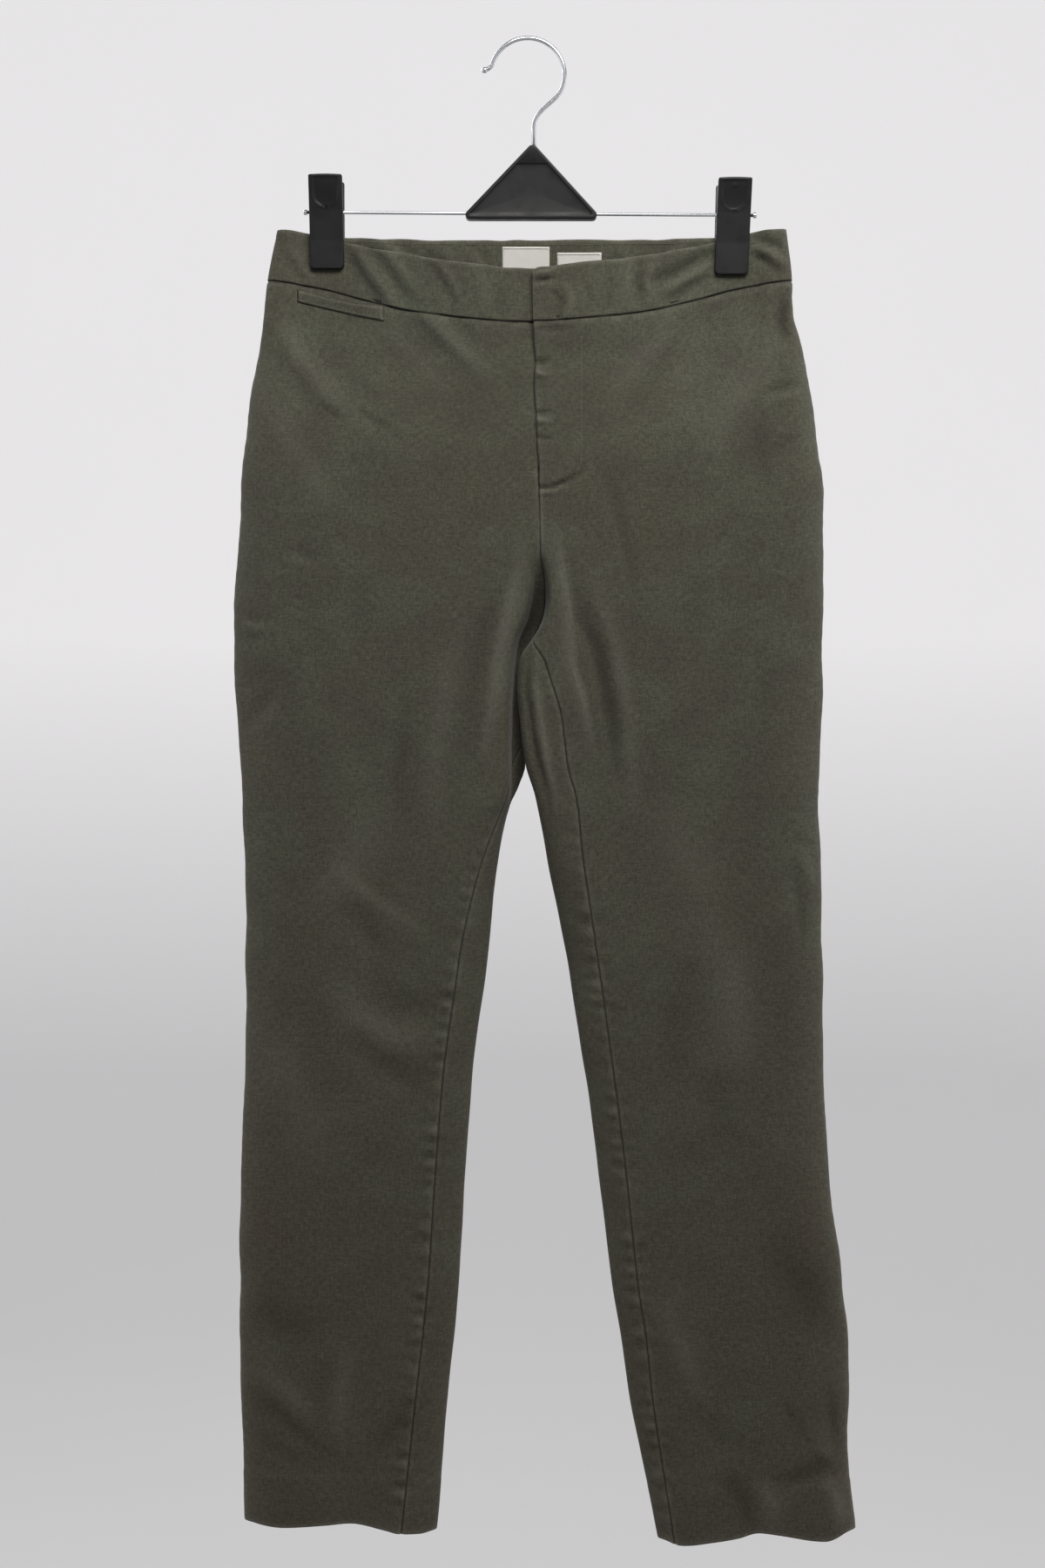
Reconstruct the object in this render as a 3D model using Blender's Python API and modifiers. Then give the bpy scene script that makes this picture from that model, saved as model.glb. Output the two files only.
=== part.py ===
"""Slim ankle-length trousers hung by the waistband from a clip hanger, at real size.

The origin is where the hook rests on a rail, on the inside of its top. +Z is up and the front
faces -Y, so the wearer's right is at -X. Sizes are in millimetres until a mesh is made. Heights
are given as a drop below the rail. The cloth is one set of flattened rings: a ring for the body
down to the crotch, then one for each leg, and every panel is a stretch of them between two seams.
"""

import math
from collections import namedtuple

import bmesh
import bpy
import numpy as np
from mathutils import Vector
from mathutils.bvhtree import BVHTree

MM = 0.001
SEAM_GAP = 0.3          # between two pieces that are sewn or lie together
EDGE_STEP = 0.8         # from a piece's edge to its first row of points inside
WALL_LEAN = 0.04        # more room at each edge, because a wall leans a little where it turns
CROTCH_SPARE = 0.35     # more room where the four legs' tight turns meet
CLOTH = 1.2             # one layer of twill with its seam allowances
BAND = 2.0              # waistband with its facing, pressed together
SIDE_TOP = 141.4        # drop of the waist's top edge at the side seams
SIDE_WAIST = 180.0      # drop of the waist seam at the side seams
CROTCH = 437.0          # drop of the point where the four leg pieces meet
CROTCH_Y = 3.0          # how far behind the middle plane that point lies
HEM = 1108.0            # mean drop of the hems
FLY_END = 322.0         # level at which the fly's underlap has run out
FLY_UNDER = 3.0         # width of the right front that lies under the left
FLY_LIFT = 1.6          # how far the left front stands proud there
BAND_UNDER = 30.0       # width of the right band that lies under the left
BAND_LIFT = 3.8         # how far the left band stands proud there
BAR_DROP = 129.6        # drop of the hanger's bar at the middle
BAR_SLOPE = 0.007       # the bar hangs a little lower at the wearer's left

# Outlines of the two halves, seen from the front. outer: side fold; inner: fold between the legs.
Outline = namedtuple("Outline", "drop outer inner")
RIGHT_OUTLINE = [Outline(*row) for row in (
    (141.4, -188.5, 2.0), (180.0, -195.5, 2.6), (224.0, -200.2, 3.6), (263.0, -207.2, 4.6),
    (302.0, -211.9, 5.8), (341.0, -215.8, 7.2), (383.0, -217.2, 8.2), (405.0, -218.2, 11.5),
    (418.0, -219.0, 12.0), (430.0, -219.8, 10.2), (437.0, -220.2, 7.8), (446.0, -220.4, 3.0),
    (472.0, -219.8, -2.5), (505.0, -218.4, -3.6), (540.0, -216.2, -3.2), (557.0, -215.2, -8.5),
    (571.0, -214.4, -15.2), (614.0, -211.9, -23.4), (692.0, -211.2, -31.9), (770.0, -212.6, -42.3),
    (848.0, -215.2, -48.1), (926.0, -216.5, -52.7), (1004.0, -215.2, -59.8),
    (1108.0, -211.7, -69.5))]
LEFT_OUTLINE = [Outline(*row) for row in (
    (141.4, 191.5, 2.0), (180.0, 196.0, 2.6), (204.0, 196.6, 3.2), (224.0, 201.5, 3.6),
    (263.0, 209.3, 4.6), (302.0, 214.5, 5.8), (341.0, 219.0, 7.2), (383.0, 219.7, 8.2),
    (405.0, 219.2, 11.5), (418.0, 218.8, 12.0), (430.0, 218.4, 10.2), (437.0, 218.4, 7.8),
    (447.0, 218.4, 2.0), (462.0, 218.4, -7.0), (485.0, 218.2, -9.2), (510.0, 217.0, -7.4),
    (542.0, 216.0, -2.9), (565.0, 216.0, 4.4), (614.0, 217.7, 13.7), (692.0, 218.4, 28.6),
    (770.0, 219.2, 41.6), (848.0, 224.3, 52.0), (926.0, 233.2, 61.1), (965.0, 237.6, 68.3),
    (1004.0, 238.6, 74.1), (1043.0, 237.4, 81.9), (1108.0, 242.4, 96.0))]

# Half thickness of the hanging cloth, and how wide the turn at the side fold is.
Depth = namedtuple("Depth", "drop front back turn")
DEPTHS = [Depth(*row) for row in (
    (141.4, 18.0, 12.0, 6.0), (190.0, 18.0, 14.0, 7.0), (260.0, 20.0, 20.0, 18.0),
    (340.0, 21.0, 24.0, 34.0), (437.0, 20.0, 23.0, 42.0), (540.0, 18.0, 20.0, 46.0),
    (692.0, 15.5, 16.0, 46.0), (848.0, 14.0, 14.0, 42.0), (1108.0, 12.5, 12.5, 36.0))]

# Depths at the waist, where the clips press all layers flat. across: from the middle.
Waist = namedtuple("Waist", "across front back")
WAIST = [Waist(*row) for row in (
    (0.0, 21.0, 8.0), (26.0, 20.8, 8.0), (60.0, 17.5, 7.2), (100.0, 10.0, 5.5), (122.0, 4.6, 3.6),
    (136.0, 2.3, 2.7), (168.0, 2.3, 2.7), (178.0, 5.4, 5.6), (196.0, 6.0, 6.0))]
WAIST_FADES = (186.0, 310.0)    # the levels over which the waist's depths become the body's

# Edges of the waistband, as drops. They are the same on both sides of the middle.
Edge = namedtuple("Edge", "across front_top front_seam back_top back_seam")
EDGES = [Edge(*row) for row in (
    (0.0, 175.0, 214.2, 147.5, 187.0), (10.0, 174.8, 214.1, 147.5, 187.0),
    (28.0, 172.8, 213.0, 147.5, 187.0),
    (55.0, 169.0, 209.8, 147.6, 186.8), (90.0, 162.6, 204.0, 147.6, 186.4),
    (121.0, 155.6, 195.5, 147.2, 185.8), (151.0, 147.8, 187.0, 146.0, 184.4),
    (178.0, 142.8, 182.2, 143.0, 182.0), (196.0, 141.4, 180.0, 141.4, 180.0))]
SEAM_FADES = (180.0, 345.0)     # below this the rows of cloth run level

# Centre seams above the crotch. pinch: 0 where the seam is flush, 1 where it reaches the crotch.
Pinch = namedtuple("Pinch", "drop front back")
PINCHES = [Pinch(*row) for row in (
    (341.0, 0.0, 0.0), (375.0, 0.04, 0.14), (398.0, 0.32, 0.36), (418.0, 0.72, 0.7),
    (437.0, 1.0, 1.0))]

# Between the legs. reach: how far the back half stands past the front's lip; height: how far
# behind the middle plane the inmost point lies; lip, heel: widths of the front and back turns;
# bluntness of the back turn; seam: inseam from the inmost point along the cloth, + on the front.
Crotch = namedtuple("Crotch", "drop reach height lip heel bluntness seam")
RIGHT_CROTCH = [Crotch(*row) for row in (
    (341.0, 2.0, CROTCH_Y, 6.0, 40.0, 1.6, 0.0), (405.0, 7.0, CROTCH_Y, 7.0, 36.0, 1.6, 0.0),
    (437.0, 10.0, CROTCH_Y, 8.0, 26.0, 1.8, 0.0), (472.0, 8.6, 6.0, 8.0, 18.0, 2.0, -12.0),
    (505.0, 8.6, 8.0, 8.0, 16.0, 2.0, -9.0), (540.0, 10.6, 8.0, 9.0, 16.0, 2.0, 12.0),
    (557.0, 5.6, 6.0, 12.0, 20.0, 2.0, 17.0), (571.0, 0.4, 3.0, 18.0, 26.0, 2.0, 14.0),
    (614.0, 0.0, 1.0, 28.0, 30.0, 2.0, 20.0), (692.0, 0.0, 0.0, 38.0, 38.0, 2.0, 27.0),
    (848.0, 0.0, 0.0, 38.0, 38.0, 2.0, 27.0), (1108.0, 0.0, 0.0, 34.0, 34.0, 2.0, 30.0))]
LEFT_CROTCH = [Crotch(*row) for row in (
    (341.0, 0.0, CROTCH_Y, 5.0, 40.0, 1.5, 0.0), (405.0, 0.0, CROTCH_Y, 5.0, 44.0, 1.4, 0.0),
    (437.0, 0.0, CROTCH_Y, 5.0, 48.0, 1.3, 0.0), (450.0, 0.0, -4.0, 6.0, 52.0, 1.25, 14.0),
    (465.0, 0.0, -10.0, 7.0, 54.0, 1.25, 25.0), (510.0, 0.0, -11.0, 8.0, 54.0, 1.25, 36.0),
    (560.0, 0.0, -9.0, 10.0, 50.0, 1.35, 35.0), (614.0, 0.0, -3.0, 20.0, 42.0, 1.7, 33.0),
    (692.0, 0.0, 0.0, 36.0, 38.0, 2.0, 29.0), (770.0, 0.0, 0.0, 38.0, 38.0, 2.0, 26.0),
    (926.0, 0.0, 0.0, 38.0, 38.0, 2.0, 24.0), (1108.0, 0.0, 0.0, 34.0, 34.0, 2.0, 16.0))]

# Drops of the hem, measured from its mean, at the side fold and at the inner fold.
HEM_TILT = {"right": (-3.0, 4.0), "left": (4.0, 12.0)}
HEM_FADES = (900.0, HEM)

SIGN = {"right": -1.0, "left": 1.0}
OUTLINES = {"right": RIGHT_OUTLINE, "left": LEFT_OUTLINE}
CROTCHES = {"right": RIGHT_CROTCH, "left": LEFT_CROTCH}


# ---------------------------------------------------------------- curves through the tables

def slopes_of(xs, ys):
    """Slopes of a smooth curve through a table's points that doesn't overshoot them."""
    steps = np.diff(xs)
    rises = np.diff(ys) / steps
    slopes = np.zeros(len(xs))
    slopes[0], slopes[-1] = rises[0], rises[-1]
    for i in range(1, len(xs) - 1):
        before, after = rises[i - 1], rises[i]
        if before * after > 0:
            near = 2 * steps[i] + steps[i - 1]
            far = steps[i] + 2 * steps[i - 1]
            slopes[i] = (near + far) / (near / before + far / after)
    return slopes


def read(table, column, at):
    """Value of a named column at one level or at an array of them."""
    xs = np.array([row[0] for row in table])
    ys = np.array([getattr(row, column) for row in table])
    slopes = slopes_of(xs, ys)
    at = np.clip(at, xs[0], xs[-1])
    i = np.clip(np.searchsorted(xs, at, side="right") - 1, 0, len(xs) - 2)
    step = xs[i + 1] - xs[i]
    t = (at - xs[i]) / step
    start = (1 + 2 * t) * (1 - t) ** 2 * ys[i] + t * (1 - t) ** 2 * step * slopes[i]
    end = t * t * (3 - 2 * t) * ys[i + 1] + t * t * (t - 1) * step * slopes[i + 1]
    return start + end


def ease(value, start, end):
    """0 before start, 1 after end, and soft between."""
    t = np.clip((value - start) / (end - start), 0.0, 1.0)
    return t * t * (3 - 2 * t)


def turn(distance, width, power):
    """Rise of a rounded end: 0 at the end, 1 at its width and beyond."""
    q = np.clip(distance / width, 0.0, 1.0)
    return (1 - (1 - q) ** power) ** (1 / power)


# ---------------------------------------------------------------- the cloth's outer surface

def depth_at(face, across, level):
    """Half thickness of the hanging cloth on one face."""
    at_waist = 1 - ease(level, *WAIST_FADES)
    body = read(DEPTHS, face, level)
    return body + (read(WAIST, face, np.abs(across)) - body) * at_waist


def inmost(side, face, level):
    """Where one half ends between the legs or at its centre seam, as (x, y)."""
    x = float(read(OUTLINES[side], "inner", level))
    if level > CROTCH:
        return x, float(read(CROTCHES[side], "height", level))
    pinch = float(read(PINCHES, face, level))
    flush = float(depth_at(face, x, level)) * (-1 if face == "front" else 1)
    return x, flush + (CROTCH_Y - flush) * pinch


def surface_y(side, face, across, level):
    """Distance of the outer surface from the middle plane, + to the back."""
    across = np.asarray(across, float)
    end_x, end_y = inmost(side, face, level)
    outer = read(OUTLINES[side], "outer", level)
    sign = SIGN[side]
    from_end = np.maximum((across - end_x) * sign, 0.0)
    from_side = np.maximum((outer - across) * sign, 0.0)
    crotch = {name: float(read(CROTCHES[side], name, level)) for name in Crotch._fields[1:]}
    if face == "front":
        reach = max(crotch["reach"], 0.01)
        shelf = 0.3 * min(reach / 8.0, 1.0)
        rise = shelf * np.clip(from_end / reach, 0, 1)
        rise = rise + (1 - shelf) * turn(np.maximum(from_end - reach, 0), crotch["lip"], 2.0)
        flat = -depth_at("front", across, level)
    else:
        rise = turn(from_end, crotch["heel"], crotch["bluntness"])
        flat = depth_at("back", across, level)
    side_turn = turn(from_side, float(read(DEPTHS, "turn", level)), 2.0)
    return side_turn * (flat + (end_y - flat) * (1 - rise))


def half_face(side, face, level, start=0.0, steps=160):
    """Points (x, y) of one face, from the inmost point to the side fold, close at both ends."""
    end_x = inmost(side, face, level)[0] + SIGN[side] * start
    outer = float(read(OUTLINES[side], "outer", level))
    t = (1 - np.cos(np.pi * np.linspace(0, 1, steps))) / 2
    across = end_x + (outer - end_x) * t
    return np.column_stack([across, surface_y(side, face, across, level)])


def drop_at(face, side, across, level):
    """Drop of a point: the rows of cloth follow the waist's edges above and the hem below."""
    top = read(EDGES, face + "_top", np.abs(across))
    seam = read(EDGES, face + "_seam", np.abs(across))
    share = np.clip((level - SIDE_TOP) / (SIDE_WAIST - SIDE_TOP), 0.0, 1.0)
    band = top * (1 - share) + seam * share
    below = level + (seam - SIDE_WAIST) * (1 - ease(level, *SEAM_FADES))
    drop = np.where(level < SIDE_WAIST, band, below)
    outer = read(OUTLINES[side], "outer", HEM)
    inner = read(OUTLINES[side], "inner", HEM)
    share_in = np.clip((across - outer) / (inner - outer), 0, 1)
    at_side, at_inner = HEM_TILT[side]
    tilt = at_side + (at_inner - at_side) * share_in
    return drop + tilt * ease(level, *HEM_FADES)


def along(points, lengths):
    """Points at given lengths along a polyline."""
    steps = np.hypot(*np.diff(points[:, :2], axis=0).T)
    run = np.concatenate([[0], np.cumsum(steps)])
    return np.column_stack([np.interp(lengths, run, points[:, k]) for k in range(points.shape[1])])


def run_of(points):
    """Length of a polyline."""
    return float(np.hypot(*np.diff(points[:, :2], axis=0).T).sum())


def panel_row(side, face, level, shares, start=0.0):
    """One row of a panel's points (x, y, z), from its inner seam to the side seam."""
    front = half_face(side, "front", level, start if face == "front" else 0.0)
    back = half_face(side, "back", level)
    front = np.column_stack([front, drop_at("front", side, front[:, 0], level)])
    back = np.column_stack([back, drop_at("back", side, back[:, 0], level)])
    seam = float(read(CROTCHES[side], "seam", level)) if level > CROTCH else 0.0
    own, other = (front, back) if face == "front" else (back, front)
    wraps = -seam if face == "front" else seam
    if wraps > 0:
        over = along(other, np.linspace(wraps, 0, 24)[:-1])
        own = np.vstack([over, own])
    elif wraps < 0:
        own = along(own, -wraps + (run_of(own) + wraps) * np.linspace(0, 1, 240) ** 1.3)
    length = run_of(own)
    spare = CROTCH_SPARE * ease(level, CROTCH - 30, CROTCH - 8) * (1 - ease(level, 540, 580))
    row = along(own, stops(length, shares, spare))
    return np.column_stack([row[:, 0], row[:, 1], -row[:, 2]])


def stops(length, shares, spare=0.0):
    """Where a row's points lie along it, with one close to each seam to keep its wall square."""
    end = SEAM_GAP / 2 + WALL_LEAN
    start = end + spare
    between = start + EDGE_STEP + (length - start - end - 2 * EDGE_STEP) * shares
    return np.concatenate([[start], between, [length - end]])


# ---------------------------------------------------------------- objects

def material(name, rgb, roughness, metallic=0.0):
    """One finish, made once and shared by its pieces."""
    found = bpy.data.materials.get(name)
    if found:
        return found
    made = bpy.data.materials.new(name)
    made.use_nodes = True
    shader = made.node_tree.nodes["Principled BSDF"]
    shader.inputs["Base Color"].default_value = (*rgb, 1.0)
    shader.inputs["Roughness"].default_value = roughness
    shader.inputs["Metallic"].default_value = metallic
    return made


def add_object(name, data, finish):
    """A named part with its finish, in the parts' collection."""
    made = bpy.data.objects.new(name, data)
    PARTS.objects.link(made)
    data.materials.append(material(*finish))
    return made


def sheet(name, rows, thickness, outward, finish):
    """A wall of cloth: a grid of points in millimetres, given its thickness inwards."""
    count = len(rows[0])
    vertices = [Vector(point) * MM for row in rows for point in row]
    mesh = bpy.data.meshes.new(name)
    faces = []
    for r in range(len(rows) - 1):
        for c in range(count - 1):
            corner = r * count + c
            loop = (corner, corner + count, corner + count + 1, corner + 1)
            faces.append(loop if outward else loop[::-1])
    mesh.from_pydata(vertices, [], faces)
    made = add_object(name, mesh, finish)
    wall = made.modifiers.new("wall", "SOLIDIFY")
    wall.thickness = thickness * MM
    wall.offset = -1.0
    mesh.shade_smooth()
    return made


def crowded(at_start, at_end, total):
    """Shares from 0 to 1 that crowd towards both ends, more strongly the larger the powers."""
    t = np.linspace(0, 1, total)
    return t ** at_start / (t ** at_start + (1 - t) ** at_end)


TWILL = ("cotton_twill", (0.077, 0.072, 0.052), 0.9)
LABEL = ("woven_label", (0.75, 0.73, 0.68), 0.8)
BLACK = ("black_plastic", (0.018, 0.018, 0.020), 0.4)
CHROME = ("chrome_wire", (0.62, 0.62, 0.64), 0.18, 1.0)
STEEL = ("plated_steel", (0.5, 0.5, 0.5), 0.35, 1.0)

for old in list(bpy.data.objects):
    bpy.data.objects.remove(old, do_unlink=True)
PARTS = bpy.data.collections.new("trousers_on_clip_hanger")
CUTTERS = bpy.data.collections.new("cutters")
bpy.context.scene.collection.children.link(PARTS)
bpy.context.scene.collection.children.link(CUTTERS)


# ---------------------------------------------------------------- legs and body

BODY_LEVELS = [SIDE_WAIST + SEAM_GAP / 2, 192, 208, 230, 256, 284, 308, 322, 341, 362, 382, 398, 412,
               425, CROTCH]
LEG_LEVELS = [447, 457, 470, 487, 508, 527, 543, 557, 571, 594, 626, 665, 710, 770, 830, 895, 960,
              1020, 1068, HEM]
FRONT_SHARES = crowded(1.4, 1.5, 12)
BACK_SHARES = crowded(1.6, 1.5, 14)


def fly_lift(across, level):
    """How far the left front stands proud over the right one, beside the fly."""
    from_edge = across - read(LEFT_OUTLINE, "inner", level)
    return FLY_LIFT * (1 - ease(from_edge, 14, 45)) * (1 - ease(level, FLY_END + 6, 362))


def make_panel(side, face, shares):
    rows = []
    for level in BODY_LEVELS + LEG_LEVELS:
        under = 0.0
        if (side, face) == ("right", "front"):
            under = -FLY_UNDER * (1 - ease(level, FLY_END - 14, FLY_END))
        row = panel_row(side, face, level, shares, start=under)
        if (side, face) == ("left", "front"):
            row[:, 1] -= fly_lift(row[:, 0], level)
        rows.append(row)
    outward = (side == "left") == (face == "front")
    return sheet(f"{face}_{side}", rows, CLOTH, outward, TWILL)


PANELS = {}
for side_name in ("right", "left"):
    PANELS[f"front_{side_name}"] = make_panel(side_name, "front", FRONT_SHARES)
    PANELS[f"back_{side_name}"] = make_panel(side_name, "back", BACK_SHARES)


# ---------------------------------------------------------------- waistband, welt, labels, closures

def band_row(side, face, share, shares, start=0.0):
    """One row of a waistband half; share is 0 at its top edge and 1 at the waist seam."""
    level = SIDE_TOP + (SIDE_WAIST - SEAM_GAP / 2 - SIDE_TOP) * share
    points = half_face(side, face, level, start)
    drops = drop_at(face, side, points[:, 0], level)
    points = np.column_stack([points, drops])
    row = along(points, stops(run_of(points), shares))
    return np.column_stack([row[:, 0], row[:, 1], -row[:, 2]])


BAND_ROWS = (0.0, 0.5, 1.0)
BAND_SHARES = np.array([0, 0.06, 0.13, 0.22, 0.32, 0.42, 0.52, 0.61, 0.685, 0.75, 0.8, 0.845, 0.88,
                        0.905, 0.93, 0.955, 0.975, 0.988, 1.0])


def band_lift(from_edge):
    return BAND_LIFT * (1 - ease(from_edge, BAND_UNDER + 2, BAND_UNDER + 45))


front_right_rows = [band_row("right", "front", share, BAND_SHARES, start=-BAND_UNDER)
                    for share in BAND_ROWS]
band_under = sheet("waistband_front_right", front_right_rows, BAND, False, TWILL)

front_left_rows = [band_row("left", "front", share, BAND_SHARES) for share in BAND_ROWS]
for band_points in front_left_rows:
    band_points[:, 1] -= band_lift(band_points[:, 0] - band_points[0, 0])
sheet("waistband_front_left", front_left_rows, BAND, True, TWILL)


def back_band_row(share):
    """A row right across the back, from one side seam to the other."""
    right_half = band_row("right", "back", share, BAND_SHARES)
    left_half = band_row("left", "back", share, BAND_SHARES)
    return np.vstack([right_half[:1:-1], left_half[2:]])


sheet("waistband_back", [back_band_row(share) for share in BAND_ROWS], CLOTH, False, TWILL)


def tree_of(panel):
    """The panel's outer facets, for laying things on."""
    corners = [vertex.co.copy() for vertex in panel.data.vertices]
    return BVHTree.FromPolygons(corners, [tuple(facet.vertices) for facet in panel.data.polygons])


def patch(name, panels, spans, out, thickness, finish, counts=(5, 3), towards=1.0):
    """A flat piece laid on the cloth and moved out from it by a distance.

    spans: the top edge and the low edge, each as (from x, to x, drop at one, drop at the other).
    towards: 1 looks for the cloth from the front, -1 from the back.
    """
    trees = [tree_of(panel) for panel in panels]
    rows = []
    for k in np.linspace(0, 1, counts[1]):
        row = []
        for t in np.linspace(0, 1, counts[0]):
            x_top, x_low = (edge[0] + (edge[1] - edge[0]) * t for edge in spans)
            d_top, d_low = (edge[2] + (edge[3] - edge[2]) * t for edge in spans)
            x, drop = x_top + (x_low - x_top) * k, d_top + (d_low - d_top) * k
            origin = Vector((x, -100.0 * towards, -drop)) * MM
            hits = [tree.ray_cast(origin, Vector((0, towards, 0))) for tree in trees]
            found = [hit for hit in hits if hit[0] is not None]
            nearest = min(found, key=lambda hit: hit[3])
            facing = Vector((0, -towards, 0))
            normal = nearest[1] if nearest[1].dot(facing) > 0 else -nearest[1]
            row.append(nearest[0] / MM + normal * out)
        rows.append(row)
    return sheet(name, rows, thickness, towards > 0, finish)


# Facing inside the back waistband, which stops short of the side folds.
FACING_TRIM = 4         # columns of the band's points at each end that have no facing
facing_rows = []
for share in (0.03, 0.5, 0.97):
    row = back_band_row(share)[FACING_TRIM:-FACING_TRIM]
    row[:, 1] -= CLOTH + SEAM_GAP
    facing_rows.append(row)
facing = sheet("waistband_facing_back", facing_rows, CLOTH, False, TWILL)

# Bare labels sewn to the inside of the facing.
LABEL_THICK = 1.0
LABEL_OUT = -(CLOTH + SEAM_GAP)
patch("label_main", [facing], ((-20.3, 15.0, 153.0, 153.0), (-20.3, 15.0, 181.0, 181.0)),
      LABEL_OUT, LABEL_THICK, LABEL, towards=-1.0)
patch("label_size", [facing], ((20.8, 54.0, 157.4, 157.4), (20.8, 54.0, 184.0, 184.0)),
      LABEL_OUT, LABEL_THICK, LABEL, towards=-1.0)

# Single welt under the waist seam on the wearer's right.
patch("pocket_welt", [PANELS["front_right"]],
      ((-172.5, -108.5, 187.2, 200.6), (-172.5, -108.5, 196.0, 211.4)), SEAM_GAP + CLOTH, CLOTH,
      TWILL, counts=(9, 3))

# Trouser hook and bar between the two ends of the band.
patch("waist_bar", [band_under], ((10.0, 20.0, 190.0, 190.0), (10.0, 20.0, 201.0, 201.0)),
      0.75, 0.5, STEEL, counts=(3, 3))
patch("waist_hook", [band_under], ((9.0, 22.0, 189.0, 189.0), (9.0, 22.0, 203.0, 203.0)),
      1.55, 0.5, STEEL, counts=(3, 3))

# Zip behind both fronts, and its slider on the tape under the left front's edge.
ZIP_THICK = 1.0
SLIDER_THICK = 1.1
zip_tape = patch("zip_tape", [PANELS["front_right"], PANELS["front_left"]],
                 ((-6.0, 18.0, 219.0, 219.0), (-1.0, 21.0, 335.0, 335.0)),
                 -(CLOTH + FLY_LIFT + SEAM_GAP), ZIP_THICK, TWILL, counts=(4, 8))
patch("zip_slider", [zip_tape], ((7.5, 12.5, 222.0, 222.0), (8.1, 13.1, 245.0, 245.0)),
      SEAM_GAP + SLIDER_THICK, SLIDER_THICK, STEEL, counts=(2, 3))


# ---------------------------------------------------------------- hanger

def wire(name, points, diameter, finish):
    """A round wire in the middle plane, through points (x, z) in millimetres."""
    curve = bpy.data.curves.new(name, "CURVE")
    curve.dimensions = "3D"
    curve.bevel_depth = diameter / 2 * MM
    curve.bevel_resolution = 3
    curve.use_fill_caps = True
    spline = curve.splines.new("POLY")
    spline.points.add(len(points) - 1)
    for target, point in zip(spline.points, points):
        target.co = (point[0] * MM, 0.0, point[1] * MM, 1.0)
    return add_object(name, curve, finish)


HOOK_WIRE = 3.2
HOOK_CENTRE = (-1.3, -26.0)
HOOK_RADIUS = -HOOK_CENTRE[1] + HOOK_WIRE / 2
HOOK_ENDS = (165.0, -15.0)      # degrees of the round part, from the tip's side to the shank's
SHANK_X = 3.3
SHANK_TOP = -66.0
BODY_TOP = -79.3


def hook_path():
    tip = [(-33.6, -22.4), (-30.6, -21.4), (-28.4, -19.6)]
    arc = [(HOOK_CENTRE[0] + HOOK_RADIUS * math.cos(math.radians(a)),
            HOOK_CENTRE[1] + HOOK_RADIUS * math.sin(math.radians(a)))
           for a in np.linspace(HOOK_ENDS[0], HOOK_ENDS[1], 22)]
    last = math.radians(HOOK_ENDS[1])
    pull = 15.0
    ease_out = (arc[-1][0] + pull * math.sin(last), arc[-1][1] - pull * math.cos(last))
    ease_in = (SHANK_X, SHANK_TOP + 16.0)
    bend = []
    for t in np.linspace(0, 1, 9)[1:]:
        parts = ((1 - t) ** 3, 3 * t * (1 - t) ** 2, 3 * t * t * (1 - t), t ** 3)
        ends = (arc[-1], ease_out, ease_in, (SHANK_X, SHANK_TOP))
        bend.append(tuple(sum(w * e[k] for w, e in zip(parts, ends)) for k in (0, 1)))
    return tip + arc + bend + [(SHANK_X, BODY_TOP - 9.0)]


wire("hanger_hook", hook_path(), HOOK_WIRE, CHROME)

BAR_WIRE = 2.5
BAR_ENDS = (-167.5, 168.5)


def bar_z(across):
    return -(BAR_DROP + BAR_SLOPE * across)


wire("hanger_bar", [(x, bar_z(x)) for x in BAR_ENDS], BAR_WIRE, CHROME)


def rounded(corners, radii, steps=5):
    """A closed outline with its corners rounded by arcs."""
    outline = []
    count = len(corners)
    for i, (corner, radius) in enumerate(zip(corners, radii)):
        here = Vector(corner)
        back = (Vector(corners[i - 1]) - here).normalized()
        ahead = (Vector(corners[(i + 1) % count]) - here).normalized()
        half = back.angle(ahead) / 2
        reach = radius / math.tan(half)
        centre = here + (back + ahead).normalized() * (radius / math.sin(half))
        start, end = here + back * reach - centre, here + ahead * reach - centre
        for t in np.linspace(0, 1, steps):
            blend = start.lerp(end, t).normalized() * radius
            outline.append(centre + blend)
    return outline


def prism(name, outline, axis, low, high, finish=None):
    """An outline in the plane across an axis, given a thickness along it."""
    mesh = bpy.data.meshes.new(name)
    work = bmesh.new()

    def placed(point, depth):
        if axis == "Y":
            return Vector((point[0], depth, point[1])) * MM
        return Vector((depth, point[0], point[1])) * MM

    ring = [work.verts.new(placed(point, low)) for point in outline]
    face = work.faces.new(ring)
    lifted = bmesh.ops.extrude_face_region(work, geom=[face])
    moved = [item for item in lifted["geom"] if isinstance(item, bmesh.types.BMVert)]
    bmesh.ops.translate(work, verts=moved, vec=placed((0, 0), high - low))
    bmesh.ops.recalc_face_normals(work, faces=work.faces)
    work.to_mesh(mesh)
    work.free()
    if finish:
        return add_object(name, mesh, finish)
    made = bpy.data.objects.new(name, mesh)
    CUTTERS.objects.link(made)
    made.hide_render = True
    made.display_type = "WIRE"
    return made


def combine(target, cutter, operation):
    step = target.modifiers.new(operation.lower(), "BOOLEAN")
    step.operation = operation
    step.object = cutter


def rod_cutter(name, diameter, length, location, turned):
    mesh = bpy.data.meshes.new(name)
    work = bmesh.new()
    bmesh.ops.create_cone(work, cap_ends=True, segments=12, radius1=diameter / 2 * MM,
                          radius2=diameter / 2 * MM, depth=length * MM)
    work.to_mesh(mesh)
    work.free()
    made = bpy.data.objects.new(name, mesh)
    made.location = Vector(location) * MM
    made.rotation_euler = turned
    CUTTERS.objects.link(made)
    made.hide_render = True
    made.display_type = "WIRE"
    return made


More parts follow.
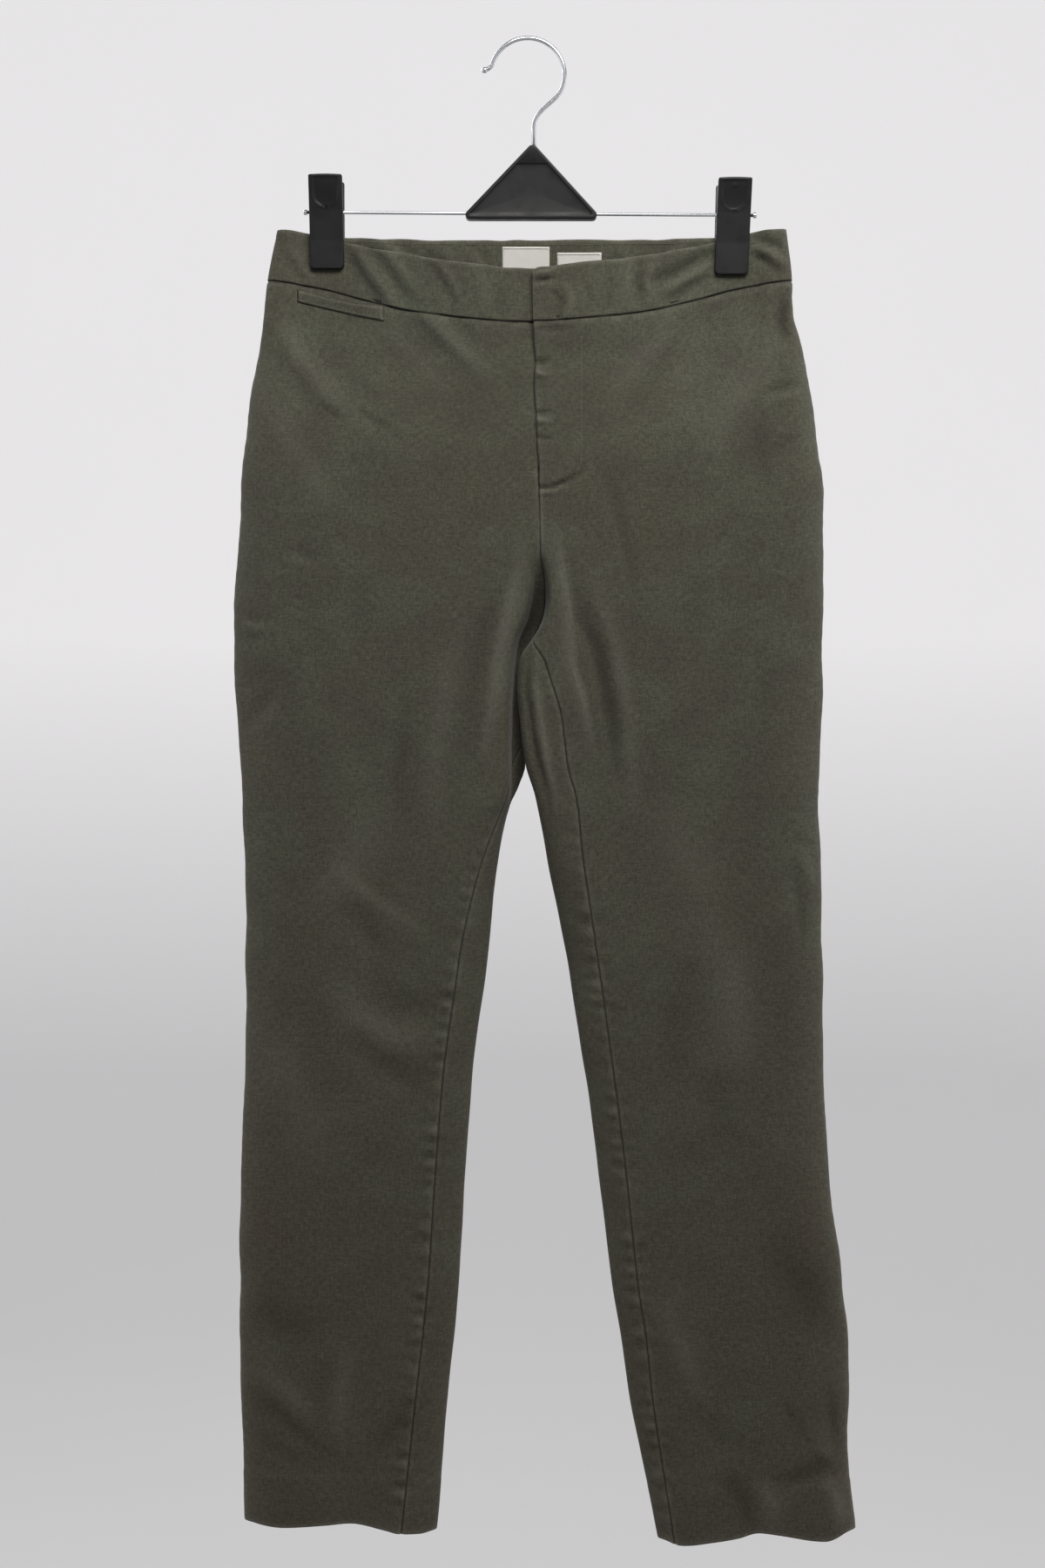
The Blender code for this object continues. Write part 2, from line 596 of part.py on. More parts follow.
# Moulded triangle that joins hook and bar, with a dished face inside a raised rim on both sides.
BODY_HALF_THICK = 4.5
RIM = 3.0
DISH = 1.0
body_corners = [(SHANK_X - 1.0, BODY_TOP + 2.0), (52.6, -132.4), (50.8, -134.2), (-47.8, -134.2),
                (-49.9, -132.0)]
body_triangle = [body_corners[0], (54.2, -134.2), (-52.0, -134.2)]
body_outline = rounded(body_corners, (5.0, 0.7, 0.7, 0.7, 0.7), steps=3)
hanger_body = prism("hanger_body", body_outline, "Y", -BODY_HALF_THICK, BODY_HALF_THICK, BLACK)


def inset(corners, by):
    """The corners of an outline moved in from its sides."""
    moved = []
    for i, corner in enumerate(corners):
        here = Vector(corner)
        back = (Vector(corners[i - 1]) - here).normalized()
        ahead = (Vector(corners[(i + 1) % len(corners)]) - here).normalized()
        moved.append(tuple(here + (back + ahead).normalized() * by / math.sin(back.angle(ahead) / 2)))
    return moved


dish_outline = rounded(inset(body_triangle, RIM), (2.0, 1.0, 1.0), steps=3)
for dish_low in (-BODY_HALF_THICK - DISH, BODY_HALF_THICK - DISH):
    combine(hanger_body, prism("dish", dish_outline, "Y", dish_low, dish_low + 2 * DISH), "DIFFERENCE")
QUARTER = math.pi / 2
combine(hanger_body, rod_cutter("bar_bore", BAR_WIRE + 2 * SEAM_GAP, 130.0,
                                (0.0, 0.0, bar_z(0.0)), (0.0, QUARTER + BAR_SLOPE, 0.0)), "DIFFERENCE")
combine(hanger_body, rod_cutter("hook_bore", HOOK_WIRE + 2 * SEAM_GAP, 24.0,
                                (SHANK_X, 0.0, BODY_TOP + 2.5), (0.0, 0.0, 0.0)), "DIFFERENCE")

# Spring clips. profile: the front jaw from the side, as (y, height above the bar).
CLIP_WIDE = 25.2
JAW_PROFILE = [(-13.4, 30.0), (-10.9, 30.0), (-6.6, 6.0), (-4.0, 3.0), (-4.0, -3.0), (-2.6, -14.0),
               (-2.6, -48.0), (-5.6, -48.0), (-6.6, -22.0), (-8.8, 0.0)]
BACK_JAW_SHIFT = 0.4            # the layers of cloth are that much thicker behind the middle
Clip = namedtuple("Clip", "across top low")
CLIPS = {"right": Clip(-151.2, -103.2, -171.8), "left": Clip(151.8, -105.6, -176.0)}
SPRING_BORE = 3.4
SPRING_WALL = 2.0
SPRING_LONG = 14.0


def make_clip(side, clip):
    middle = bar_z(clip.across)
    half = CLIP_WIDE / 2
    frame = [(clip.across - half, clip.top), (clip.across + half, clip.top),
             (clip.across + half, clip.low), (clip.across - half, clip.low)]
    for face, turned in (("front", 1), ("back", -1)):
        shift = 0.0 if face == "front" else BACK_JAW_SHIFT
        profile = [(y * turned + shift, middle + z) for y, z in JAW_PROFILE]
        name = f"clip_{side}_{face}"
        jaw = prism(name, profile, "X", clip.across - half - 2, clip.across + half + 2, BLACK)
        outline = prism(name + "_outline", rounded(frame, (2.0, 2.0, 7.0, 7.0)), "Y", -20, 20)
        combine(jaw, outline, "INTERSECT")
    mesh = bpy.data.meshes.new("spring")
    work = bmesh.new()
    outer = (SPRING_BORE / 2 + SPRING_WALL) * MM
    bmesh.ops.create_cone(work, cap_ends=False, segments=16, radius1=outer, radius2=outer,
                          depth=SPRING_LONG * MM)
    bmesh.ops.recalc_face_normals(work, faces=work.faces)
    work.to_mesh(mesh)
    work.free()
    spring = add_object(f"clip_{side}_spring", mesh, STEEL)
    spring.location = Vector((clip.across, 0.0, middle)) * MM
    spring.rotation_euler = (0.0, QUARTER + BAR_SLOPE, 0.0)
    wall = spring.modifiers.new("wall", "SOLIDIFY")
    wall.thickness = SPRING_WALL * MM
    wall.offset = -1.0


for clip_side, clip_row in CLIPS.items():
    make_clip(clip_side, clip_row)
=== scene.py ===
"""Slim olive twill trousers hung by the waistband from a clip hanger, finished round the fixed frame.

Sizes are in millimetres until a mesh is made: across runs to the wearer's left, a drop is measured
down from the rail, and the front faces -Y. The wearer's right is at the viewer's left.
"""

import math
from collections import namedtuple

import bmesh
import bpy
import numpy as np
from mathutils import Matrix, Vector
from mathutils.bvhtree import BVHTree


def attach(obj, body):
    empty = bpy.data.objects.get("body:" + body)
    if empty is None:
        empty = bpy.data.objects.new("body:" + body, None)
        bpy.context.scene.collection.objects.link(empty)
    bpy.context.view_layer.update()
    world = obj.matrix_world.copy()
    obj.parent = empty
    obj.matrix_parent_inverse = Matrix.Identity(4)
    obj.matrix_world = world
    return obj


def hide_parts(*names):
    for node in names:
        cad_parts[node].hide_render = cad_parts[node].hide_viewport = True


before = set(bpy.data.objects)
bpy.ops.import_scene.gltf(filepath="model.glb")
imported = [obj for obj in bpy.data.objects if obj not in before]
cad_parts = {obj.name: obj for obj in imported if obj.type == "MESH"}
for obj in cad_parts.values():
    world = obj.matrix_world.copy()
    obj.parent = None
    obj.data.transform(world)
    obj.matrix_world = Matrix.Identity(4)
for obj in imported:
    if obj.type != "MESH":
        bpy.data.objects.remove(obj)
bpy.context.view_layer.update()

# ---------------------------------------------------------------- fronts and backs
# Two fronts and two backs of washed cotton stretch twill, each cut in one piece from waist to hem.
# They are sewn at the side seams, inseams and centre seams, and hang pressed almost flat from the
# clips, so each level of the cloth is a flattened ring: one for the body, then one for each leg.

MM = 0.001
SIDE_TOP = 141.4        # drop of the waist's top edge at the side seams
SIDE_WAIST = 180.0      # drop of the waist seam at the side seams
CROTCH = 437.0
CROTCH_Y = 3.0
HEM = 1108.0
CLOTH = 0.7             # one layer of twill
WALL = 1.2              # the frame's wall for one layer with its seam allowances

Outline = namedtuple("Outline", "drop outer inner")
RIGHT_OUTLINE = [Outline(*row) for row in (
    (141.4, -188.5, 2.0), (180.0, -195.5, 2.6), (224.0, -200.2, 3.6), (263.0, -207.2, 4.6),
    (302.0, -211.9, 5.8), (341.0, -215.8, 7.2), (383.0, -217.2, 8.2), (405.0, -218.2, 11.5),
    (418.0, -219.0, 12.0), (430.0, -219.8, 10.2), (437.0, -220.2, 7.8), (446.0, -220.4, 3.0),
    (472.0, -219.8, -2.5), (505.0, -218.4, -3.6), (540.0, -216.2, -3.2), (557.0, -215.2, -8.5),
    (571.0, -214.4, -15.2), (614.0, -211.9, -23.4), (692.0, -211.2, -31.9), (770.0, -212.6, -42.3),
    (848.0, -215.2, -48.1), (926.0, -216.5, -52.7), (1004.0, -215.2, -59.8),
    (1108.0, -211.7, -69.5))]
LEFT_OUTLINE = [Outline(*row) for row in (
    (141.4, 191.5, 2.0), (180.0, 196.0, 2.6), (204.0, 196.6, 3.2), (224.0, 201.5, 3.6),
    (263.0, 209.3, 4.6), (302.0, 214.5, 5.8), (341.0, 219.0, 7.2), (383.0, 219.7, 8.2),
    (405.0, 219.2, 11.5), (418.0, 218.8, 12.0), (430.0, 218.4, 10.2), (437.0, 218.4, 7.8),
    (447.0, 218.4, 2.0), (462.0, 218.4, -7.0), (485.0, 218.2, -9.2), (510.0, 217.0, -7.4),
    (542.0, 216.0, -2.9), (565.0, 216.0, 4.4), (614.0, 217.7, 13.7), (692.0, 218.4, 28.6),
    (770.0, 219.2, 41.6), (848.0, 224.3, 52.0), (926.0, 233.2, 61.1), (965.0, 237.6, 68.3),
    (1004.0, 238.6, 74.1), (1043.0, 237.4, 81.9), (1108.0, 242.4, 96.0))]

Depth = namedtuple("Depth", "drop front back turn")
DEPTHS = [Depth(*row) for row in (
    (141.4, 18.0, 12.0, 6.0), (190.0, 18.0, 14.0, 7.0), (260.0, 20.0, 20.0, 18.0),
    (340.0, 21.0, 24.0, 34.0), (437.0, 20.0, 23.0, 42.0), (540.0, 18.0, 20.0, 46.0),
    (692.0, 15.5, 16.0, 46.0), (848.0, 14.0, 14.0, 42.0), (1108.0, 12.5, 12.5, 36.0))]

Waist = namedtuple("Waist", "across front back")
WAIST = [Waist(*row) for row in (
    (0.0, 21.0, 8.0), (26.0, 20.8, 8.0), (60.0, 17.5, 7.2), (100.0, 10.0, 5.5), (122.0, 4.6, 3.6),
    (136.0, 2.3, 2.7), (168.0, 2.3, 2.7), (178.0, 5.4, 5.6), (196.0, 6.0, 6.0))]
WAIST_FADES = (186.0, 310.0)

Edge = namedtuple("Edge", "across front_top front_seam back_top back_seam")
EDGES = [Edge(*row) for row in (
    (0.0, 175.0, 214.2, 147.5, 187.0), (10.0, 174.8, 214.1, 147.5, 187.0),
    (28.0, 172.8, 213.0, 147.5, 187.0),
    (55.0, 169.0, 209.8, 147.6, 186.8), (90.0, 162.6, 204.0, 147.6, 186.4),
    (121.0, 155.6, 195.5, 147.2, 185.8), (151.0, 147.8, 187.0, 146.0, 184.4),
    (178.0, 142.8, 182.2, 143.0, 182.0), (196.0, 141.4, 180.0, 141.4, 180.0))]
SEAM_FADES = (180.0, 345.0)

Pinch = namedtuple("Pinch", "drop front back")
PINCHES = [Pinch(*row) for row in (
    (341.0, 0.0, 0.0), (375.0, 0.04, 0.14), (398.0, 0.32, 0.36), (418.0, 0.72, 0.7),
    (437.0, 1.0, 1.0))]

Crotch = namedtuple("Crotch", "drop reach height lip heel bluntness seam")
RIGHT_CROTCH = [Crotch(*row) for row in (
    (341.0, 2.0, CROTCH_Y, 6.0, 40.0, 1.6, 0.0), (405.0, 7.0, CROTCH_Y, 7.0, 36.0, 1.6, 0.0),
    (437.0, 10.0, CROTCH_Y, 8.0, 26.0, 1.8, 0.0), (472.0, 8.6, 6.0, 8.0, 18.0, 2.0, -12.0),
    (505.0, 8.6, 8.0, 8.0, 16.0, 2.0, -9.0), (540.0, 10.6, 8.0, 9.0, 16.0, 2.0, 12.0),
    (557.0, 5.6, 6.0, 12.0, 20.0, 2.0, 17.0), (571.0, 0.4, 3.0, 18.0, 26.0, 2.0, 14.0),
    (614.0, 0.0, 1.0, 28.0, 30.0, 2.0, 20.0), (692.0, 0.0, 0.0, 38.0, 38.0, 2.0, 27.0),
    (848.0, 0.0, 0.0, 38.0, 38.0, 2.0, 27.0), (1108.0, 0.0, 0.0, 34.0, 34.0, 2.0, 30.0))]
LEFT_CROTCH = [Crotch(*row) for row in (
    (341.0, 0.0, CROTCH_Y, 5.0, 40.0, 1.5, 0.0), (405.0, 0.0, CROTCH_Y, 5.0, 44.0, 1.4, 0.0),
    (437.0, 0.0, CROTCH_Y, 5.0, 48.0, 1.3, 0.0), (450.0, 0.0, -4.0, 6.0, 52.0, 1.25, 14.0),
    (465.0, 0.0, -10.0, 7.0, 54.0, 1.25, 25.0), (510.0, 0.0, -11.0, 8.0, 54.0, 1.25, 36.0),
    (560.0, 0.0, -9.0, 10.0, 50.0, 1.35, 35.0), (614.0, 0.0, -3.0, 20.0, 42.0, 1.7, 33.0),
    (692.0, 0.0, 0.0, 36.0, 38.0, 2.0, 29.0), (770.0, 0.0, 0.0, 38.0, 38.0, 2.0, 26.0),
    (926.0, 0.0, 0.0, 38.0, 38.0, 2.0, 24.0), (1108.0, 0.0, 0.0, 34.0, 34.0, 2.0, 16.0))]

# The hem's edge isn't level: its drop below or above a straight line between the two folds.
Hem = namedtuple("Hem", "across drop")
HEMS = {
    "right": [Hem(*row) for row in (
        (-211.0, 1101.8), (-183.0, 1105.4), (-150.0, 1103.4), (-133.0, 1101.8), (-107.0, 1107.3),
        (-95.0, 1109.9), (-76.0, 1110.6), (-69.0, 1108.6))],
    "left": [Hem(*row) for row in (
        (98.0, 1115.7), (113.0, 1118.9), (136.0, 1116.3), (155.0, 1113.1), (170.0, 1109.3),
        (186.0, 1111.2), (211.0, 1115.0), (220.0, 1115.7), (234.0, 1111.2), (241.0, 1108.6))],
}
HEM_TILT = {"right": (-6.0, 1.5), "left": (0.5, 8.0)}
HEM_FADES = (900.0, HEM)
HEM_WAVE_FADES = (1040.0, HEM)

SIGN = {"right": -1.0, "left": 1.0}
OUTLINES = {"right": RIGHT_OUTLINE, "left": LEFT_OUTLINE}
CROTCHES = {"right": RIGHT_CROTCH, "left": LEFT_CROTCH}


def slopes_of(xs, ys):
    """Slopes of a smooth curve through a table's points that doesn't overshoot them."""
    steps = np.diff(xs)
    rises = np.diff(ys) / steps
    slopes = np.zeros(len(xs))
    slopes[0], slopes[-1] = rises[0], rises[-1]
    for i in range(1, len(xs) - 1):
        before, after = rises[i - 1], rises[i]
        if before * after > 0:
            near = 2 * steps[i] + steps[i - 1]
            far = steps[i] + 2 * steps[i - 1]
            slopes[i] = (near + far) / (near / before + far / after)
    return slopes


def read(table, column, at):
    """Value of a table's named column at one level or at an array of them."""
    xs = np.array([row[0] for row in table])
    ys = np.array([getattr(row, column) for row in table])
    slopes = slopes_of(xs, ys)
    at = np.clip(at, xs[0], xs[-1])
    i = np.clip(np.searchsorted(xs, at, side="right") - 1, 0, len(xs) - 2)
    step = xs[i + 1] - xs[i]
    t = (at - xs[i]) / step
    start = (1 + 2 * t) * (1 - t) ** 2 * ys[i] + t * (1 - t) ** 2 * step * slopes[i]
    end = t * t * (3 - 2 * t) * ys[i + 1] + t * t * (t - 1) * step * slopes[i + 1]
    return start + end


def ease(value, start, end):
    """0 before start, 1 after end, and soft between."""
    t = np.clip((value - start) / (end - start), 0.0, 1.0)
    return t * t * (3 - 2 * t)


def turn(distance, width, power):
    """Rise of a rounded end: 0 at the end, 1 at its width and beyond."""
    q = np.clip(distance / width, 0.0, 1.0)
    return (1 - (1 - q) ** power) ** (1 / power)


def depth_at(face, across, level):
    """Half thickness of the hanging cloth on one face."""
    at_waist = 1 - ease(level, *WAIST_FADES)
    body = read(DEPTHS, face, level)
    return body + (read(WAIST, face, np.abs(across)) - body) * at_waist


def inmost(side, face, level):
    """Where one half ends between the legs or at its centre seam, as (across, y)."""
    x = float(read(OUTLINES[side], "inner", level))
    if level > CROTCH:
        return x, float(read(CROTCHES[side], "height", level))
    pinch = float(read(PINCHES, face, level))
    flush = float(depth_at(face, x, level)) * (-1 if face == "front" else 1)
    return x, flush + (CROTCH_Y - flush) * pinch


def surface_y(side, face, across, level):
    """Distance of the outer surface from the middle plane, + to the back."""
    across = np.asarray(across, float)
    end_x, end_y = inmost(side, face, level)
    outer = read(OUTLINES[side], "outer", level)
    from_end = np.maximum((across - end_x) * SIGN[side], 0.0)
    from_side = np.maximum((outer - across) * SIGN[side], 0.0)
    crotch = {name: float(read(CROTCHES[side], name, level)) for name in Crotch._fields[1:]}
    if face == "front":
        reach = max(crotch["reach"], 0.01)
        shelf = 0.3 * min(reach / 8.0, 1.0)
        rise = shelf * np.clip(from_end / reach, 0, 1)
        rise = rise + (1 - shelf) * turn(np.maximum(from_end - reach, 0), crotch["lip"], 2.0)
        flat = -depth_at("front", across, level)
    else:
        rise = turn(from_end, crotch["heel"], crotch["bluntness"])
        flat = depth_at("back", across, level)
    side_turn = turn(from_side, float(read(DEPTHS, "turn", level)), 2.0)
    return side_turn * (flat + (end_y - flat) * (1 - rise))


def drop_at(face, side, across, level):
    """Drop of a point: the rows of cloth follow the waist's edges above and the hem below."""
    top = read(EDGES, face + "_top", np.abs(across))
    seam = read(EDGES, face + "_seam", np.abs(across))
    share = np.clip((level - SIDE_TOP) / (SIDE_WAIST - SIDE_TOP), 0.0, 1.0)
    band = top * (1 - share) + seam * share
    below = level + (seam - SIDE_WAIST) * (1 - ease(level, *SEAM_FADES))
    drop = np.where(level < SIDE_WAIST, band, below)
    at_side, at_inner = HEM_TILT[side]
    outer = read(OUTLINES[side], "outer", HEM)
    inner = read(OUTLINES[side], "inner", HEM)
    share_in = np.clip((across - outer) / (inner - outer), 0, 1)
    line = at_side + (at_inner - at_side) * share_in
    wave = read(HEMS[side], "drop", across) - HEM - line
    wave = wave * (1.0 if face == "front" else 0.4) * ease(share_in * (1 - share_in), 0.0, 0.08)
    return drop + line * ease(level, *HEM_FADES) + wave * ease(level, *HEM_WAVE_FADES)


def half_face(side, face, level, start=0.0):
    """Points (x, y, drop) of one face, from the inmost point to the side fold, close at both ends."""
    end_x = inmost(side, face, level)[0] + SIGN[side] * start
    outer = float(read(OUTLINES[side], "outer", level))
    t = (1 - np.cos(np.pi * np.linspace(0, 1, 200))) / 2
    across = end_x + (outer - end_x) * t
    return np.column_stack([across, surface_y(side, face, across, level),
                            drop_at(face, side, across, level)])


def run_along(points):
    """Distance of each point of a polyline from its start, in plan."""
    steps = np.hypot(*np.diff(points[:, :2], axis=0).T)
    return np.concatenate([[0], np.cumsum(steps)])


def along(points, lengths):
    """Points at given lengths along a polyline."""
    run = run_along(points)
    return np.column_stack([np.interp(lengths, run, points[:, k]) for k in range(points.shape[1])])


BESIDE_SEAM = [0.0, 0.5, 1.0, 1.6, 2.6, 4.2, 6.5, 9.5, 13.0]    # close rows of points at each seam


DENSER_INSIDE = 1.25    # above 1, columns lie closer towards the inner seam, where the folds are finer


def stops(length, columns):
    """Where a row's points lie along it: close together at both seams, even between them."""
    beside = np.array(BESIDE_SEAM)
    middle = beside[-1] + (length - 2 * beside[-1]) * np.linspace(0, 1, columns) ** DENSER_INSIDE
    return np.concatenate([beside, middle[1:-1], length - beside[::-1]])


def panel_row(side, face, level, columns, start=0.0):
    """One row of a panel from its inner seam to its side seam: points, and their run from the seam."""
    front = half_face(side, "front", level, start if face == "front" else 0.0)
    back = half_face(side, "back", level)
    seam = float(read(CROTCHES[side], "seam", level)) if level > CROTCH else 0.0
    own, other = (front, back) if face == "front" else (back, front)
    wraps = -seam if face == "front" else seam
    if wraps > 0:
        over = along(other, np.linspace(wraps, 0, 40)[:-1])
        own = np.vstack([over, own])
    elif wraps < 0:
        length = run_along(own)[-1]
        own = along(own, -wraps + (length + wraps) * np.linspace(0, 1, 260) ** 1.3)
    at = stops(run_along(own)[-1], columns)
    return along(own, at), at


